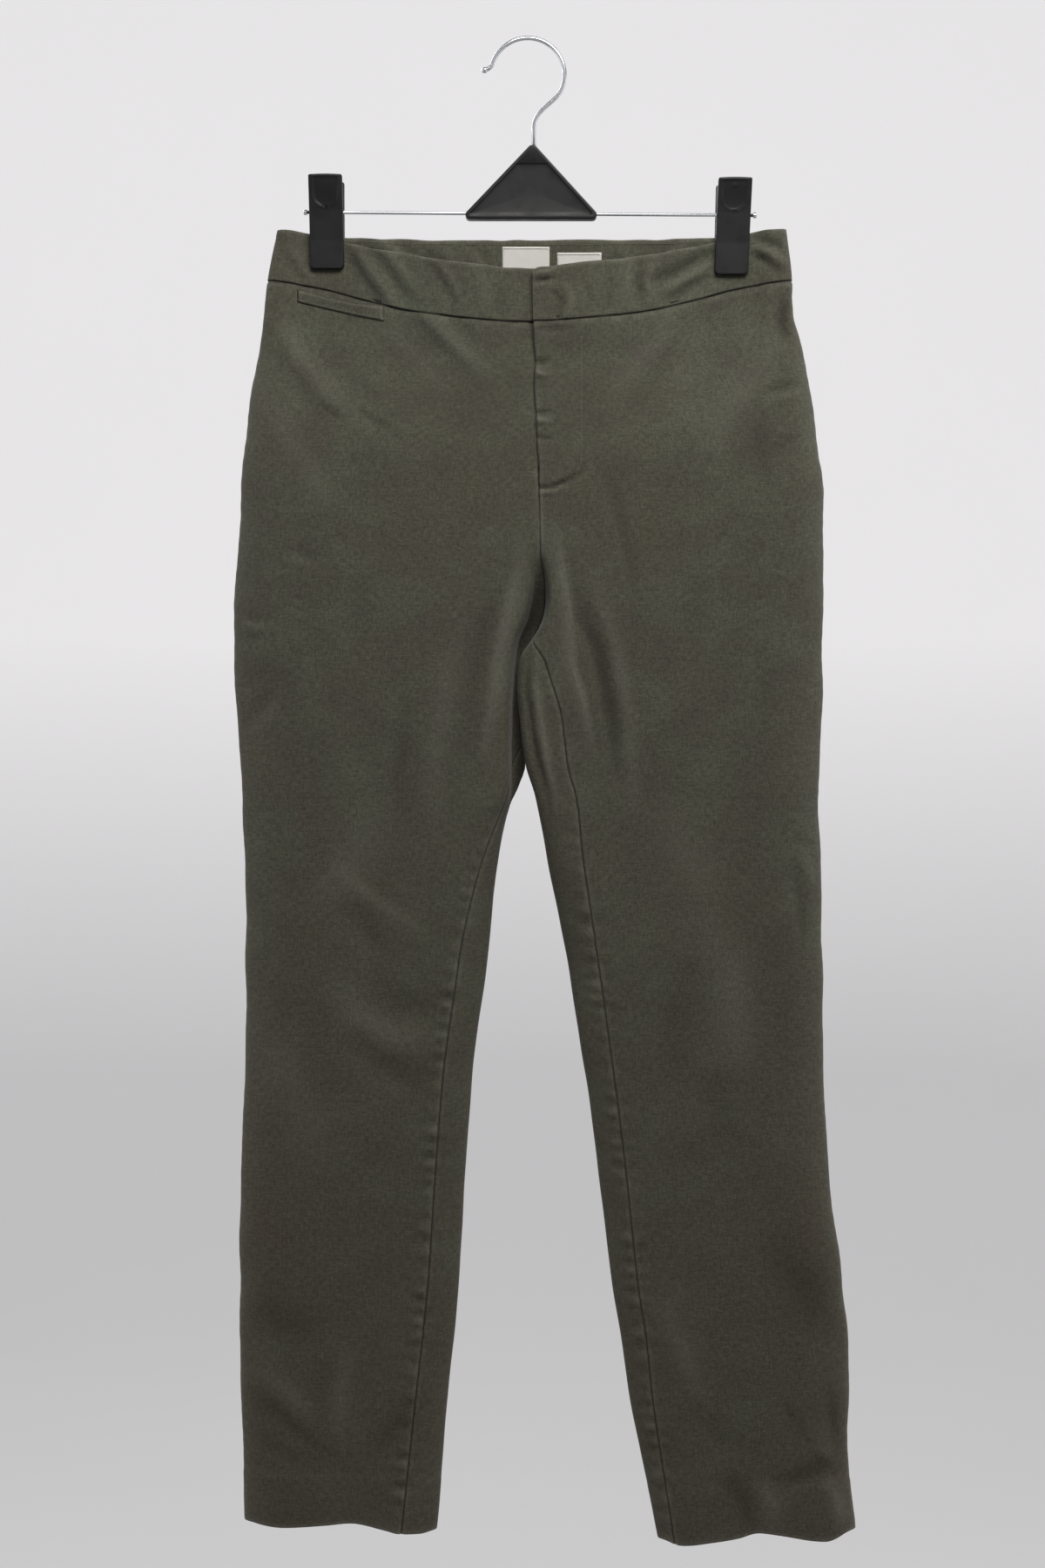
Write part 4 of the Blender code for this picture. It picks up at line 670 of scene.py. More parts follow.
def leg_panel(side, face):
    """A front or back: its rows, creases, seams and hem turned up inside."""
    columns = COLUMNS[face]
    outward = (side == "left") == (face == "front")
    rows, runs = [], []
    for level in LEVELS:
        under = 0.0
        if (side, face) == ("right", "front"):
            under = -FLY_UNDER * (1 - ease(level, FLY_END - 14, FLY_END))
        row, run = panel_row(side, face, level, columns, under)
        rows.append(row)
        runs.append(run)
    points, runs = np.array(rows), np.array(runs)
    points[..., 2] *= -1
    level = np.repeat(LEVELS[:, None], points.shape[1], axis=1)
    drop = -points[..., 2]
    if (side, face) == ("left", "front"):
        from_edge = points[..., 0] - read(LEFT_OUTLINE, "inner", level)
        lift = FLY_LIFT * (1 - ease(from_edge, 14, 45)) * (1 - ease(level, FLY_END + 6, 362))
        band_lift = BAND_LIFT * (1 - ease(from_edge, BAND_UNDER + 2, BAND_UNDER + 45))
        near_band = 1 - ease(level, SIDE_WAIST, SIDE_WAIST + 34)
        points[..., 1] -= lift + (band_lift - lift) * near_band
    normals = normals_of(points, outward)
    length = runs[:, -1:] + runs[:, :1]
    from_inner, from_side = runs - runs[:, :1], length - runs[:, :1] - runs
    moved = creased(side, points, normals)
    ridges = moved.copy()
    moved += slack(points[..., 0], drop, side) * ease(level, 184, 230)
    inner_strength = 0.12 + ROPING[side, face] * ease(level, 540, 660)
    moved += beside_seam(from_inner, drop, SHIFTS[side], inner_strength)
    # Beside a centre seam both halves move straight out, so that they stay together.
    beside = (1 - ease(level, CROTCH, CROTCH + 25)) * np.exp(-(from_inner / 6.0) ** 2)
    straight = np.array((0.0, -1.0 if face == "front" else 1.0, 0.0))
    normals = normals * (1 - beside[..., None]) + straight * beside[..., None]
    moved *= 1 - 0.6 * beside * ease(level, 380, 415)
    if face == "front":
        beside_fly = 1 - ease(level, FLY_END - 4, FLY_END + 10)
        if side == "right":
            moved -= 1.5 * beside_fly * (1 - ease(from_inner, FLY_UNDER, FLY_UNDER + 8))
        else:
            moved -= 0.9 * beside_fly * np.exp(-(from_inner / 0.9) ** 2)
            waves = 0.7 * np.sin(drop / 9) * np.sin(drop / 31) * ease(level, 190, 205) * beside_fly
            points[..., 0] += waves * np.exp(-(from_inner / 8.0) ** 2)
    moved += beside_seam(from_side, drop, SHIFTS[side] + 1.4, 0.18)
    wavy = 0.8 * np.sin(drop / 21 + SHIFTS[side]) * np.sin(drop / 57 + 2 * SHIFTS[side])
    wavy += 0.45 * np.sin(drop / 9.5 + 3 * SHIFTS[side]) * np.sin(drop / 71 + 1.0)
    moved += wavy * np.exp(-(from_side / 16.0) ** 2) * ease(level, 200, 260)
    waist = level - SIDE_WAIST
    moved -= 0.7 * np.exp(-(np.maximum(waist, 0) / 1.3) ** 2) + 0.25 * (waist < 0)
    ripple = pucker(points[..., 0] * 1.3 + 400, 1.5, 0.8)
    moved += 0.28 * ripple * np.exp(-(waist / 9.0) ** 2) * ease(waist, 0.5, 3)
    at_hem = HEM - level
    moved += 0.25 * (1 - ease(at_hem, HEM_ALLOWANCE - 0.8, HEM_ALLOWANCE + 0.8))
    dimple = np.exp(-((at_hem - HEM_ALLOWANCE) / 1.6) ** 2) * (0.5 + 0.5 * np.sin(points[..., 0] * 0.9))
    moved -= 0.3 * dimple
    points = points + normals * moved[..., None]
    # Colour along the seams and creases: paler with wear along the seams, the side folds and the hem's edge;
    # crease ridges painted paler, a painted highlight; painted shade in the seam lines, the waist seam and
    # crease troughs; paler ripples under the waist seam and a pale line beside the centre seam below the fly;
    # and the inseam's puckers painted light and dark along their ripples, partly the seam's twisting wear and
    # partly painted light and shade.
    seam_wear = np.exp(-((from_inner - 1.6) / 1.6) ** 2) + np.exp(-((from_side - 1.6) / 1.6) ** 2)
    wear_and_painted_light = 0.34 * seam_wear * (0.6 + 0.4 * pucker(drop, 2.0, 0.3))
    wear_and_painted_light = wear_and_painted_light + 0.18 * np.clip(ridges, 0, 2) + 0.5 * np.exp(-(at_hem / 1.6) ** 2)
    wear_and_painted_light = wear_and_painted_light + 0.07 * np.exp(-((at_hem - HEM_ALLOWANCE) / 1.4) ** 2)
    wear_and_painted_light = wear_and_painted_light - 0.15 * np.clip(-ridges, 0, 4) + 0.16 * np.exp(-(from_side / 7.0) ** 2)
    below_fly = ease(level, FLY_END + 12, FLY_END + 22) * (1 - ease(level, 400, 425))
    wear_and_painted_light = wear_and_painted_light - (1.0 - 0.55 * below_fly) * np.exp(-(from_inner / 0.5) ** 2)
    if (side, face) == ("left", "front"):
        wear_and_painted_light = wear_and_painted_light + 0.4 * below_fly * np.exp(-((from_inner - 1.3) / 0.9) ** 2)
    wear_and_painted_light = wear_and_painted_light - 0.9 * np.exp(-(from_side / 0.5) ** 2)
    wear_and_painted_light = wear_and_painted_light - 1.4 * np.exp(-(np.maximum(waist, 0) / 0.75) ** 2)
    wear_and_painted_light = wear_and_painted_light + 0.22 * np.exp(-((waist - 3.5) / 1.8) ** 2) * (0.6 + 0.6 * ripple)
    roping_light_and_shade = pucker(drop, 1.0, SHIFTS[side]) * np.exp(-((from_inner - 4) / 5.0) ** 2)
    wear_and_painted_light = wear_and_painted_light + 0.3 * roping_light_and_shade * ease(level, 540, 660) * ROPING[side, face]
    wear_and_painted_light = np.clip(wear_and_painted_light, -1, 1)
    # The hem goes round its fold, then up inside.
    normals = normals_of(points, outward)
    down = np.gradient(points, axis=0)[-1]
    down /= np.linalg.norm(down, axis=1, keepdims=True)
    edge, out = points[-1], normals[-1]
    folded = [edge + down * HEM_FOLD * math.sin(a) - out * HEM_FOLD * (1 - math.cos(a))
              for a in np.radians([35, 70, 110, 145, 180])]
    inside = []
    up_rows = [k for k in range(len(LEVELS) - 2, 0, -1) if HEM - LEVELS[k] < HEM_ALLOWANCE][::2]
    for k in up_rows:
        inside.append(points[k] - normals[k] * 2 * HEM_FOLD)
    points = np.concatenate([points, folded, inside])
    flat_drop = np.concatenate([LEVELS, HEM + np.arange(1, 6) * HEM_FOLD * 0.63,
                                2 * HEM + 3 - LEVELS[up_rows]])
    extra = len(folded) + len(inside)
    wear_and_painted_light = np.concatenate([wear_and_painted_light, np.repeat(wear_and_painted_light[-1:], 3, axis=0), np.zeros((extra - 3, wear_and_painted_light.shape[1]))])
    runs = np.concatenate([from_side, np.repeat(from_side[-1:], extra, axis=0)])
    threads = np.stack([runs, np.repeat(flat_drop[:, None], runs.shape[1], axis=1)], -1)
    name = f"{face}_{side}"
    made = cloth_mesh(f"{name}_cloth", points, threads, wear_and_painted_light, CLOTH, outward)
    put_on(made, TWILL, name, slot="cotton_twill")
    run = np.linalg.norm(np.diff(points[:len(LEVELS), columns // 2], axis=0), axis=1).sum()
    panels[name] = (points[:len(LEVELS)], normals_of(points[:len(LEVELS)], outward))
    return made


for side_name in ("right", "left"):
    for face_name in ("front", "back"):
        leg_panel(side_name, face_name)

# ---------------------------------------------------------------- waistband
# A shaped band of the same twill, doubled and pressed, in two front halves and one back. The left
# front laps over the right at the middle, where a hidden hook pulls its corner into a small pucker.

BAND = 2.0
BAND_FACE = 38.0        # height of the band down its face
SEAM_SLIT = 0.25
BAND_SHARES = np.concatenate([[0, 0.02, 0.045], np.linspace(0.075, 0.925, 27), [0.95, 0.975, 1.0]])

BAND_CREASES = [Crease(*row) for row in (
    ("front", "right", 5.0, -0.9, 0.3, ((-141, 150), (-130, 168), (-118, 186), (-104, 204))),
    ("front", "right", 4.5, 0.7, 0.0, ((-134, 152), (-120, 172), (-104, 196), (-96, 206))),
    ("front", "right", 4.5, -0.8, 0.0, ((-122, 152), (-106, 172), (-92, 192), (-84, 206))),
    ("front", "right", 4.0, 0.5, 0.0, ((-112, 154), (-98, 172), (-82, 196))),
    ("front", "right", 3.5, -0.6, 0.0, ((-80, 164), (-68, 178), (-56, 198), (-52, 210))),
    ("front", "right", 3.0, 0.5, 0.0, ((-72, 164), (-60, 180), (-48, 204))),
    ("front", "right", 3.5, -0.6, 0.0, ((-188, 146), (-180, 160), (-168, 182))),
    ("front", "right", 3.5, 0.5, 0.0, ((-184, 150), (-174, 164), (-160, 184))),
    ("front", "right", 3.0, 0.4, 0.0, ((-40, 172), (-34, 188), (-30, 212))),
    ("front", "right", 2.4, -0.4, 0.0, ((-24, 190), (-22, 202), (-24, 214))),
    ("front", "left", 5.0, -1.1, 0.2, ((141, 156), (124, 166), (104, 178), (86, 184))),
    ("front", "left", 4.5, 0.8, 0.0, ((136, 166), (118, 178), (98, 190))),
    ("front", "left", 4.0, -0.8, 0.0, ((134, 176), (116, 188), (100, 200))),
    ("front", "left", 3.0, 0.6, 0.0, ((92, 164), (88, 178), (90, 204))),
    ("front", "left", 3.0, -0.7, 0.0, ((82, 166), (80, 182), (84, 206))),
    ("front", "left", 2.8, 0.5, 0.0, ((74, 168), (72, 184), (74, 208))),
    ("front", "left", 3.0, -0.6, 0.0, ((58, 172), (60, 188), (56, 210))),
    ("front", "left", 3.0, -0.5, 0.0, ((40, 182), (44, 198), (40, 213))),
    ("front", "left", 2.6, -0.7, 0.0, ((18, 192), (23, 202), (20, 214))),
    ("front", "left", 2.4, 0.6, 0.0, ((26, 186), (30, 198), (27, 213))),
    ("front", "left", 3.0, -1.0, 0.0, ((166, 160), (176, 166), (188, 178))),
    ("front", "left", 3.0, 0.7, 0.0, ((166, 154), (178, 160), (192, 170))),
    ("front", "left", 3.0, -0.8, 0.0, ((168, 148), (178, 152), (190, 158))),
    ("inside", "both", 5.0, -0.9, 0.0, ((-128, 146), (-104, 158), (-84, 176))),
    ("inside", "both", 4.5, 0.7, 0.0, ((-112, 146), (-88, 160), (-70, 178))),
    ("inside", "both", 5.0, -0.7, 0.0, ((-78, 150), (-60, 164), (-46, 182))),
    ("inside", "both", 4.0, 0.5, 0.0, ((-46, 150), (-34, 164), (-26, 182))),
    ("inside", "both", 4.0, -0.8, 0.0, ((62, 152), (72, 164), (76, 184))),
    ("inside", "both", 4.5, 0.6, 0.0, ((118, 148), (98, 162), (84, 180))),
    ("inside", "both", 5.0, -0.9, 0.0, ((132, 148), (112, 160), (98, 178))),
    ("back", "both", 5.0, -0.8, 0.0, ((-130, 150), (-112, 168), (-92, 186))),
    ("back", "both", 5.0, 0.6, 0.0, ((-118, 150), (-98, 168), (-80, 186))),
    ("back", "both", 5.0, -0.8, 0.0, ((132, 150), (112, 168), (94, 186))),
    ("back", "both", 4.0, 0.5, 0.0, ((-40, 150), (-36, 168), (-40, 186))),
    ("back", "both", 4.0, -0.5, 0.0, ((46, 152), (50, 170), (46, 186))),
)]


def band_row(side, face, share, start=0.0):
    """One row of a waistband half; share is 0 at its top edge and 1 at the waist seam."""
    level = SIDE_TOP + (SIDE_WAIST - SEAM_SLIT - SIDE_TOP) * share
    points = half_face(side, face, level, start)
    at = stops(run_along(points)[-1], 62)
    row = along(points, at)
    row[:, 2] *= -1
    return row, at


def band_shape(points, side, face, outward, share):
    """Moves a band's points out by its creases, ripples and pressed edges."""
    normals = normals_of(points, outward)
    x, drop = points[..., 0], -points[..., 2]
    moved = np.zeros(x.shape)
    for crease in BAND_CREASES:
        if (crease.face, crease.side) != (face, side):
            continue
        signed, run = nearest_on(crease.path, x, drop)
        moved += 2.5 * crease.height * np.exp(-(signed / crease.width) ** 2) * np.sin(np.pi * run) ** 0.6
    ripple = pucker(x * 1.3 + 400, 1.5, 0.8)
    moved += 0.34 * ripple * np.exp(-((1 - share) / 0.3) ** 2)
    moved += 0.16 * pucker(x + 300, 2.4, 1.3) * (1 - share)
    points = points + normals * moved[..., None]
    points[..., 2] += 0.45 * pucker(x + 300, 3.1, 2.2) * np.exp(-(share / 0.12) ** 2)
    return points, moved


def soften(made, width, degrees):
    """Rounds the edges of a piece that are sharper than an angle."""
    edge = made.modifiers.new("softened edge", "BEVEL")
    edge.width = width * MM
    edge.segments = 2
    edge.limit_method = "ANGLE"
    edge.angle_limit = math.radians(degrees)


def band_piece(name, points, runs, share, side, face, outward, thickness, *nodes, painted_light_and_shade=0.0):
    """A pressed band: shaped, with rounded edges, paler along its top edge, with painted shade along its seam
    edge and painted highlights and shade on its creases.
    """
    points, ridges = band_shape(points, side, face, outward, share)
    # Paler along the top edge; painted shade in the seam line at the low edge; crease ridges painted paler
    # and troughs darker, as painted highlight and painted shade.
    wear_and_painted_light = 0.8 * np.exp(-(share * BAND_FACE / 1.7) ** 2) + 0.2 * np.exp(-((1 - share) * BAND_FACE / 1.5) ** 2)
    wear_and_painted_light = wear_and_painted_light * (0.7 + 0.3 * pucker(points[..., 0] * 1.2 + 50, 2.0, 0.9))
    wear_and_painted_light = wear_and_painted_light - 1.2 * np.exp(-((1 - share) * BAND_FACE / 0.7) ** 2) + painted_light_and_shade
    wear_and_painted_light = wear_and_painted_light + 0.14 * np.clip(ridges, 0, 2) - 0.14 * np.clip(-ridges, 0, 3)
    threads = np.stack([runs, share * (SIDE_WAIST - SIDE_TOP) + SIDE_TOP], -1)
    made = cloth_mesh(name, points, threads, np.clip(wear_and_painted_light, -1, 1), thickness, outward)
    soften(made, 0.32 * thickness, 60)
    put_on(made, TWILL, *nodes, slot="cotton_twill")
    return made, points


def half_band(side, face, start=0.0):
    """One half of a band: its points, their runs from the inner end, and their shares of its height."""
    rows = [band_row(side, face, share, start) for share in BAND_SHARES]
    points, runs = (np.array(part) for part in zip(*rows))
    return points, runs, np.repeat(BAND_SHARES[:, None], points.shape[1], axis=1)


points, runs, share = half_band("right", "front", -BAND_UNDER)
_, band_under = band_piece("band_front_right", points, runs, share, "right", "front", False, BAND,
                           "waistband_front_right")

points, runs, share = half_band("left", "front")
from_edge = points[..., 0] - points[:, :1, 0]
lift = BAND_LIFT * (1 - ease(from_edge, BAND_UNDER + 2, BAND_UNDER + 45))
points[..., 1] -= lift
# The hook under the corner pushes a small bump out, with grooves over and under it.
below_top = share * BAND_FACE
across_hook = np.exp(-((from_edge - 8) / 6.5) ** 2)
bump = np.exp(-((below_top - 5.0 + 0.12 * from_edge) / 2.6) ** 2) * across_hook
grooves = np.exp(-((below_top - 10.0 + 0.12 * from_edge) / 1.5) ** 2) * across_hook
grooves += 0.6 * np.exp(-((below_top - 1.2) / 1.1) ** 2) * across_hook
roll = np.exp(-((below_top - 13.5) / 2.2) ** 2) * across_hook
points[..., 1] += -1.7 * bump + 1.6 * grooves - 0.8 * roll
points[..., 2] -= 3.0 * np.exp(-(from_edge / 2.6) ** 2) * (1 - ease(below_top, 0, 7))
# The bump is painted a little paler and the grooves darker: painted highlight and painted shade.
hook_painted_light_and_shade = 0.3 * bump + 0.15 * roll - 0.7 * grooves
band_piece("band_front_left", points, runs, share, "left", "front", True, BAND,
           "waistband_front_left", painted_light_and_shade=hook_painted_light_and_shade)


def whole_back():
    """The back band in one piece: both halves joined at the centre, less their closest columns."""
    right, right_runs, _ = half_band("right", "back")
    left, left_runs, _ = half_band("left", "back")
    points = np.concatenate([right[:, :1:-1], left[:, 2:]], axis=1)
    runs = np.concatenate([-right_runs[:, :1:-1], left_runs[:, 2:]], axis=1)
    return points, runs, np.repeat(BAND_SHARES[:, None], points.shape[1], axis=1)


points, runs, share = whole_back()
band_piece("band_back", points, runs, share, "both", "back", False, WALL, "waistband_back")

# The back band's facing, a second layer inside it, stops short of the side folds.
trim = 12
facing_points = points[:, trim:-trim].copy()
facing_points[..., 1] -= WALL + 0.3
facing_points[..., 2] -= 0.6 * (1 - share[:, trim:-trim])
made, facing = band_piece("band_facing", facing_points, runs[:, trim:-trim], share[:, trim:-trim],
                          "both", "inside", False, 1.0, "waistband_facing_back")

# ---------------------------------------------------------------- pocket welt
# A small single-welt pocket under the waist seam on the wearer's right: one folded strip of the twill, its
# ends sewn into the front, its top edge sagging a little open; the dark of the pocket's mouth is painted
# shade along that edge.


def tree_of(*grids):
    """The facets of grids of points, for laying things on."""
    corners, facets = [], []
    for grid in grids:
        facets += quads_of(*grid.shape[:2], len(corners)).tolist()
        corners += grid.reshape(-1, 3).tolist()
    return BVHTree.FromPolygons(corners, facets)


def lay(tree, x, drop, out=0.0):
    """The cloth's first point behind a place seen from the front, moved out of the cloth."""
    hit, normal = tree.ray_cast(Vector((x, -100.0, -drop)), Vector((0, 1.0, 0)))[:2]
    if normal.y > 0:
        normal.negate()
    return np.array(hit + normal * out)


def laid(tree, top, low, counts, out):
    """A grid laid on the cloth between two lines; out is a distance, or one for each (k, t)."""
    top, low = np.array(top, float), np.array(low, float)
    grid = []
    for k in np.linspace(0, 1, counts[0]):
        ends = top + (low - top) * k
        row = [ends[0] + (ends[1] - ends[0]) * t for t in np.linspace(0, 1, counts[1])]
        grid.append([lay(tree, x, drop, out(k, t) if callable(out) else out)
                     for (x, drop), t in zip(row, np.linspace(0, 1, counts[1]))])
    return np.array(grid)


def flat_threads(grid):
    """Flat coordinates of a small piece cut along the thread."""
    return np.stack([grid[..., 0] + 300, -grid[..., 2]], -1)


front_tree = tree_of(panels["front_right"][0], panels["front_left"][0])
WELT_TOP = ((-173.0, 186.6), (-108.0, 200.2))
WELT_LOW = ((-173.0, 196.2), (-108.0, 211.6))


def welt_stands(k, t):
    """How far the welt stands off the front: most along its top edge, where it sags open."""
    sag = 1.5 * ease(t, 0.08, 0.3) * (1 - ease(t, 0.6, 0.9)) * (1 - k) ** 1.5
    roll = 0.55 * math.sin(math.pi * min(max(k, 0.0), 1.0)) ** 0.6
    ends = ease(t, 0.0, 0.02) * (1 - ease(t, 0.98, 1.0))
    low = 1 - ease(k, 0.9, 1.0)
    return 0.35 + (roll + sag) * ends + 0.55 * low * ends


grid = laid(front_tree, WELT_TOP, WELT_LOW, (15, 60), welt_stands)
k = np.repeat(np.linspace(0, 1, 15)[:, None], 60, axis=1)
t = np.repeat(np.linspace(0, 1, 60)[None], 15, axis=0)
sagging = 1.6 * ease(t, 0.1, 0.35) * (1 - ease(t, 0.6, 0.9)) * (1 - k) ** 2
grid[..., 2] -= sagging
# Paler bands near its folded top and low edges and at one end; painted shade along its top edge, its low edge
# and both ends, where it meets the front.
wear_and_painted_light = 0.45 * np.exp(-((k - 0.16) / 0.1) ** 2) + 0.35 * np.exp(-((0.84 - k) / 0.08) ** 2)
wear_and_painted_light = wear_and_painted_light + 0.5 * (t > 0.96) * k - 0.9 * np.exp(-(k / 0.05) ** 2) - 0.9 * np.exp(-((1 - k) / 0.06) ** 2)
wear_and_painted_light = wear_and_painted_light - 0.9 * (t > 0.985) - 0.9 * (t < 0.015)
made = cloth_mesh("welt", grid, flat_threads(grid), np.clip(wear_and_painted_light, -1, 1), 0.7, True)
put_on(made, TWILL, "pocket_welt", slot="cotton_twill")

# ---------------------------------------------------------------- labels
# Two woven satin labels, left bare, sewn by their top edges to the inside of the back band: cream
# polyester ribbon with its long threads across, smooth enough to shine softly.

ribbon, tree, shader = finish_of("woven_satin_ribbon", "d2cfc8", 0.55, Sheen_Weight=0.2,
                                 Specular_IOR_Level=0.4)
flat = add(tree, "UVMap", uv_map="threads").outputs["UV"]
weft = add(tree, "TexWave", {"Vector": flat, "Scale": 0.314 / 0.0005, "Distortion": 0.5, "Detail": 2.0},
           bands_direction="Y")
warp = add(tree, "TexWave", {"Vector": flat, "Scale": 0.314 / 0.0009, "Distortion": 0.8}, bands_direction="X")
cloudy = add(tree, "TexNoise", {"Vector": flat, "Scale": 120.0, "Detail": 3.0})
shade_by = add(tree, "MapRange", {"Value": weft.outputs["Fac"], "To Min": 0.9, "To Max": 1.03})
tint = add(tree, "Mix", {0: cloudy.outputs["Fac"], 6: linear("e3e2de"), 7: linear("d6d4ce")},
           data_type="RGBA")
tint = add(tree, "Mix", {0: 1.0, 6: tint.outputs[2], 7: shade_by.outputs["Result"]},
           data_type="RGBA", blend_type="MULTIPLY")
tree.links.new(tint.outputs[2], shader.inputs["Base Color"])
first = add(tree, "Bump", {"Height": weft.outputs["Fac"], "Strength": 0.4, "Distance": 0.00015})
second = add(tree, "Bump", {"Height": warp.outputs["Fac"], "Strength": 0.2, "Distance": 0.0001,
                            "Normal": first.outputs["Normal"]})
tree.links.new(second.outputs["Normal"], shader.inputs["Normal"])

facing_tree = tree_of(facing)
FACING_THICK = 1.0


def label_stands(k, t):
    """How far a label stands off the facing: its top edge is turned in, its low edge curls."""
    curl = 0.9 * (k ** 2) * (0.4 + 0.6 * math.cos(2.6 * t + 0.4))
    hem = 0.25 * (k < 0.06)
    return FACING_THICK + 0.45 + max(curl, 0.0) + hem


Label = namedtuple("Label", "name left right top low")
for name, left_x, right_x, top, low in (Label("label_main", -20.3, 15.0, 153.0, 181.0),
                                        Label("label_size", 20.8, 54.0, 157.4, 184.0)):
    grid = laid(facing_tree, ((left_x, top), (right_x, top)), ((left_x, low), (right_x, low)),
                (16, 24), label_stands)
    made = cloth_mesh(name + "_ribbon", grid, flat_threads(grid), np.zeros(grid.shape[:2]), 0.35, True)
    put_on(made, ribbon, name, slot="woven_label")

# ---------------------------------------------------------------- stitching
# Polyester sewing thread in the cloth's own colour: a curved row holds the fly's placket, others
# run under the back band's top edge, round the welt's ends and along the labels' tops.

# Spun polyester thread, twisted: beads a little brighter than the twill, each with fine slanting turns.
thread, tree, shader = finish_of("polyester_thread", "6d6a58", 0.6, Sheen_Weight=0.3)
flat = add(tree, "TexCoord").outputs["Object"]
twist = add(tree, "TexWave", {"Vector": flat, "Scale": 900.0, "Distortion": 1.0})
first = add(tree, "Bump", {"Height": twist.outputs["Fac"], "Strength": 0.4, "Distance": 0.0001})
tree.links.new(first.outputs["Normal"], shader.inputs["Normal"])
# The same thread undyed, for the labels: it all but vanishes on the cream ribbon.
pale_thread, _, _ = finish_of("pale_polyester_thread", "b9b5aa", 0.6, Sheen_Weight=0.3)


def tube(points, radii, sides=8):
    """Corners and facets of a round rod through points, with one radius or one at each point."""
    points = np.asarray(points, float)
    radii = np.broadcast_to(radii, len(points))
    ways = np.gradient(points, axis=0)
    ways /= np.linalg.norm(ways, axis=1, keepdims=True)
    angles = np.linspace(0, 2 * math.pi, sides, endpoint=False)[:, None]
    aside = np.cross(ways[0], (0.31, 0.87, 0.38))
    rings = []
    for point, way, radius in zip(points, ways, radii):
        aside = aside - way * aside.dot(way)
        aside /= np.linalg.norm(aside)
        rings.append(point + radius * (np.cos(angles) * aside + np.sin(angles) * np.cross(way, aside)))
    corners = np.concatenate(rings)
    facets = []
    for r in range(len(rings) - 1):
        for s in range(sides):
            a, b = r * sides + s, r * sides + (s + 1) % sides
            facets.append((a, b, b + sides, a + sides))
    facets.append(tuple(range(sides))[::-1])
    facets.append(tuple(range(len(corners) - sides, len(corners))))
    return corners, facets


def joined(name, parts, smooth=True):
    """One object made of several lists of corners and facets."""
    corners, facets = [], []
    for some_corners, some_facets in parts:
        facets += [tuple(len(corners) + i for i in facet) for facet in some_facets]
        corners += (np.asarray(some_corners) * MM).tolist()
    mesh = bpy.data.meshes.new(name)
    mesh.from_pydata(corners, [], facets)
    if smooth:
        mesh.shade_smooth()
    made = bpy.data.objects.new(name, mesh)
    bpy.context.scene.collection.objects.link(made)
    return made


def row_of_stitches(tree, path, pitch, thick, out=0.0):
    """Beads of thread along (across, drop) points, each dipping into the cloth at both ends."""
    path = np.array(path, float)
    run = np.concatenate([[0], np.cumsum(np.linalg.norm(np.diff(path, axis=0), axis=1))])
    parts = []
    for start in np.arange(0, run[-1] - pitch / 2, pitch):
        beads = []
        for share_of, rise in ((0.04, -0.3), (0.2, 0.0), (0.5, 0.1), (0.8, 0.0), (0.96, -0.3)):
            at = start + pitch * share_of
            beads.append(lay(tree, np.interp(at, run, path[:, 0]), np.interp(at, run, path[:, 1]),
                             out + rise * thick * 2))
        parts.append(tube(beads, thick * np.array([0.5, 0.9, 1.0, 0.9, 0.5]), 6))
    return parts


PLACKET_ROW = ((6.8, 336.7), (16.7, 336.0), (27.6, 331.3), (34.1, 327.0), (37.4, 321.0), (38.3, 314.0),
               (38.3, 224.0))
rows = row_of_stitches(front_tree, PLACKET_ROW, 2.7, 0.17)
rows += row_of_stitches(front_tree, ((-173.6, 188.5), (-173.6, 195.5)), 2.2, 0.16)
rows += row_of_stitches(front_tree, ((-107.2, 201.5), (-107.2, 211.5)), 2.2, 0.16)
made = joined("front_stitches", rows)
put_on(made, thread, slot="cotton_twill")

edge_tree = tree_of(facing)
band_row_path = [(x, float(read(EDGES, "back_top", abs(x))) + 3.6) for x in np.linspace(-150, 152, 60)]
made = joined("back_band_stitches",
              row_of_stitches(edge_tree, band_row_path, 2.9, 0.2, FACING_THICK + 0.12))
put_on(made, thread, slot="cotton_twill")
over_labels = FACING_THICK + 0.72
rows = row_of_stitches(edge_tree, ((-19.4, 154.3), (14.2, 154.3)), 2.4, 0.14, over_labels)
rows += row_of_stitches(edge_tree, ((21.6, 158.7), (53.2, 158.7)), 2.4, 0.14, over_labels)
made = joined("label_stitches", rows)
put_on(made, pale_thread, slot="woven_label")

# ---------------------------------------------------------------- zip, hook and bar
# Nylon coil zip on a twill tape behind the fly, and a nickel-plated pressed-steel trouser hook and
# bar between the two ends of the band, all hidden when the trousers are closed.

# Pressed steel, nickel plated over brush marks that all run one way: a warm grey, blurred shine.
nickel, tree, shader = finish_of("nickel_plated_steel", "b9b6ae", 0.3, Metallic=1.0)
place_of = add(tree, "TexCoord").outputs["Object"]
brushed = add(tree, "Mapping", {"Vector": place_of, "Scale": (200.0, 200.0, 3000.0)})
grain = add(tree, "TexNoise", {"Vector": brushed.outputs["Vector"], "Scale": 1.0, "Detail": 3.0})
rough = add(tree, "MapRange", {"Value": grain.outputs["Fac"], "To Min": 0.22, "To Max": 0.42})
tree.links.new(rough.outputs["Result"], shader.inputs["Roughness"])
first = add(tree, "Bump", {"Height": grain.outputs["Fac"], "Strength": 0.15, "Distance": 0.0001})
tree.links.new(first.outputs["Normal"], shader.inputs["Normal"])


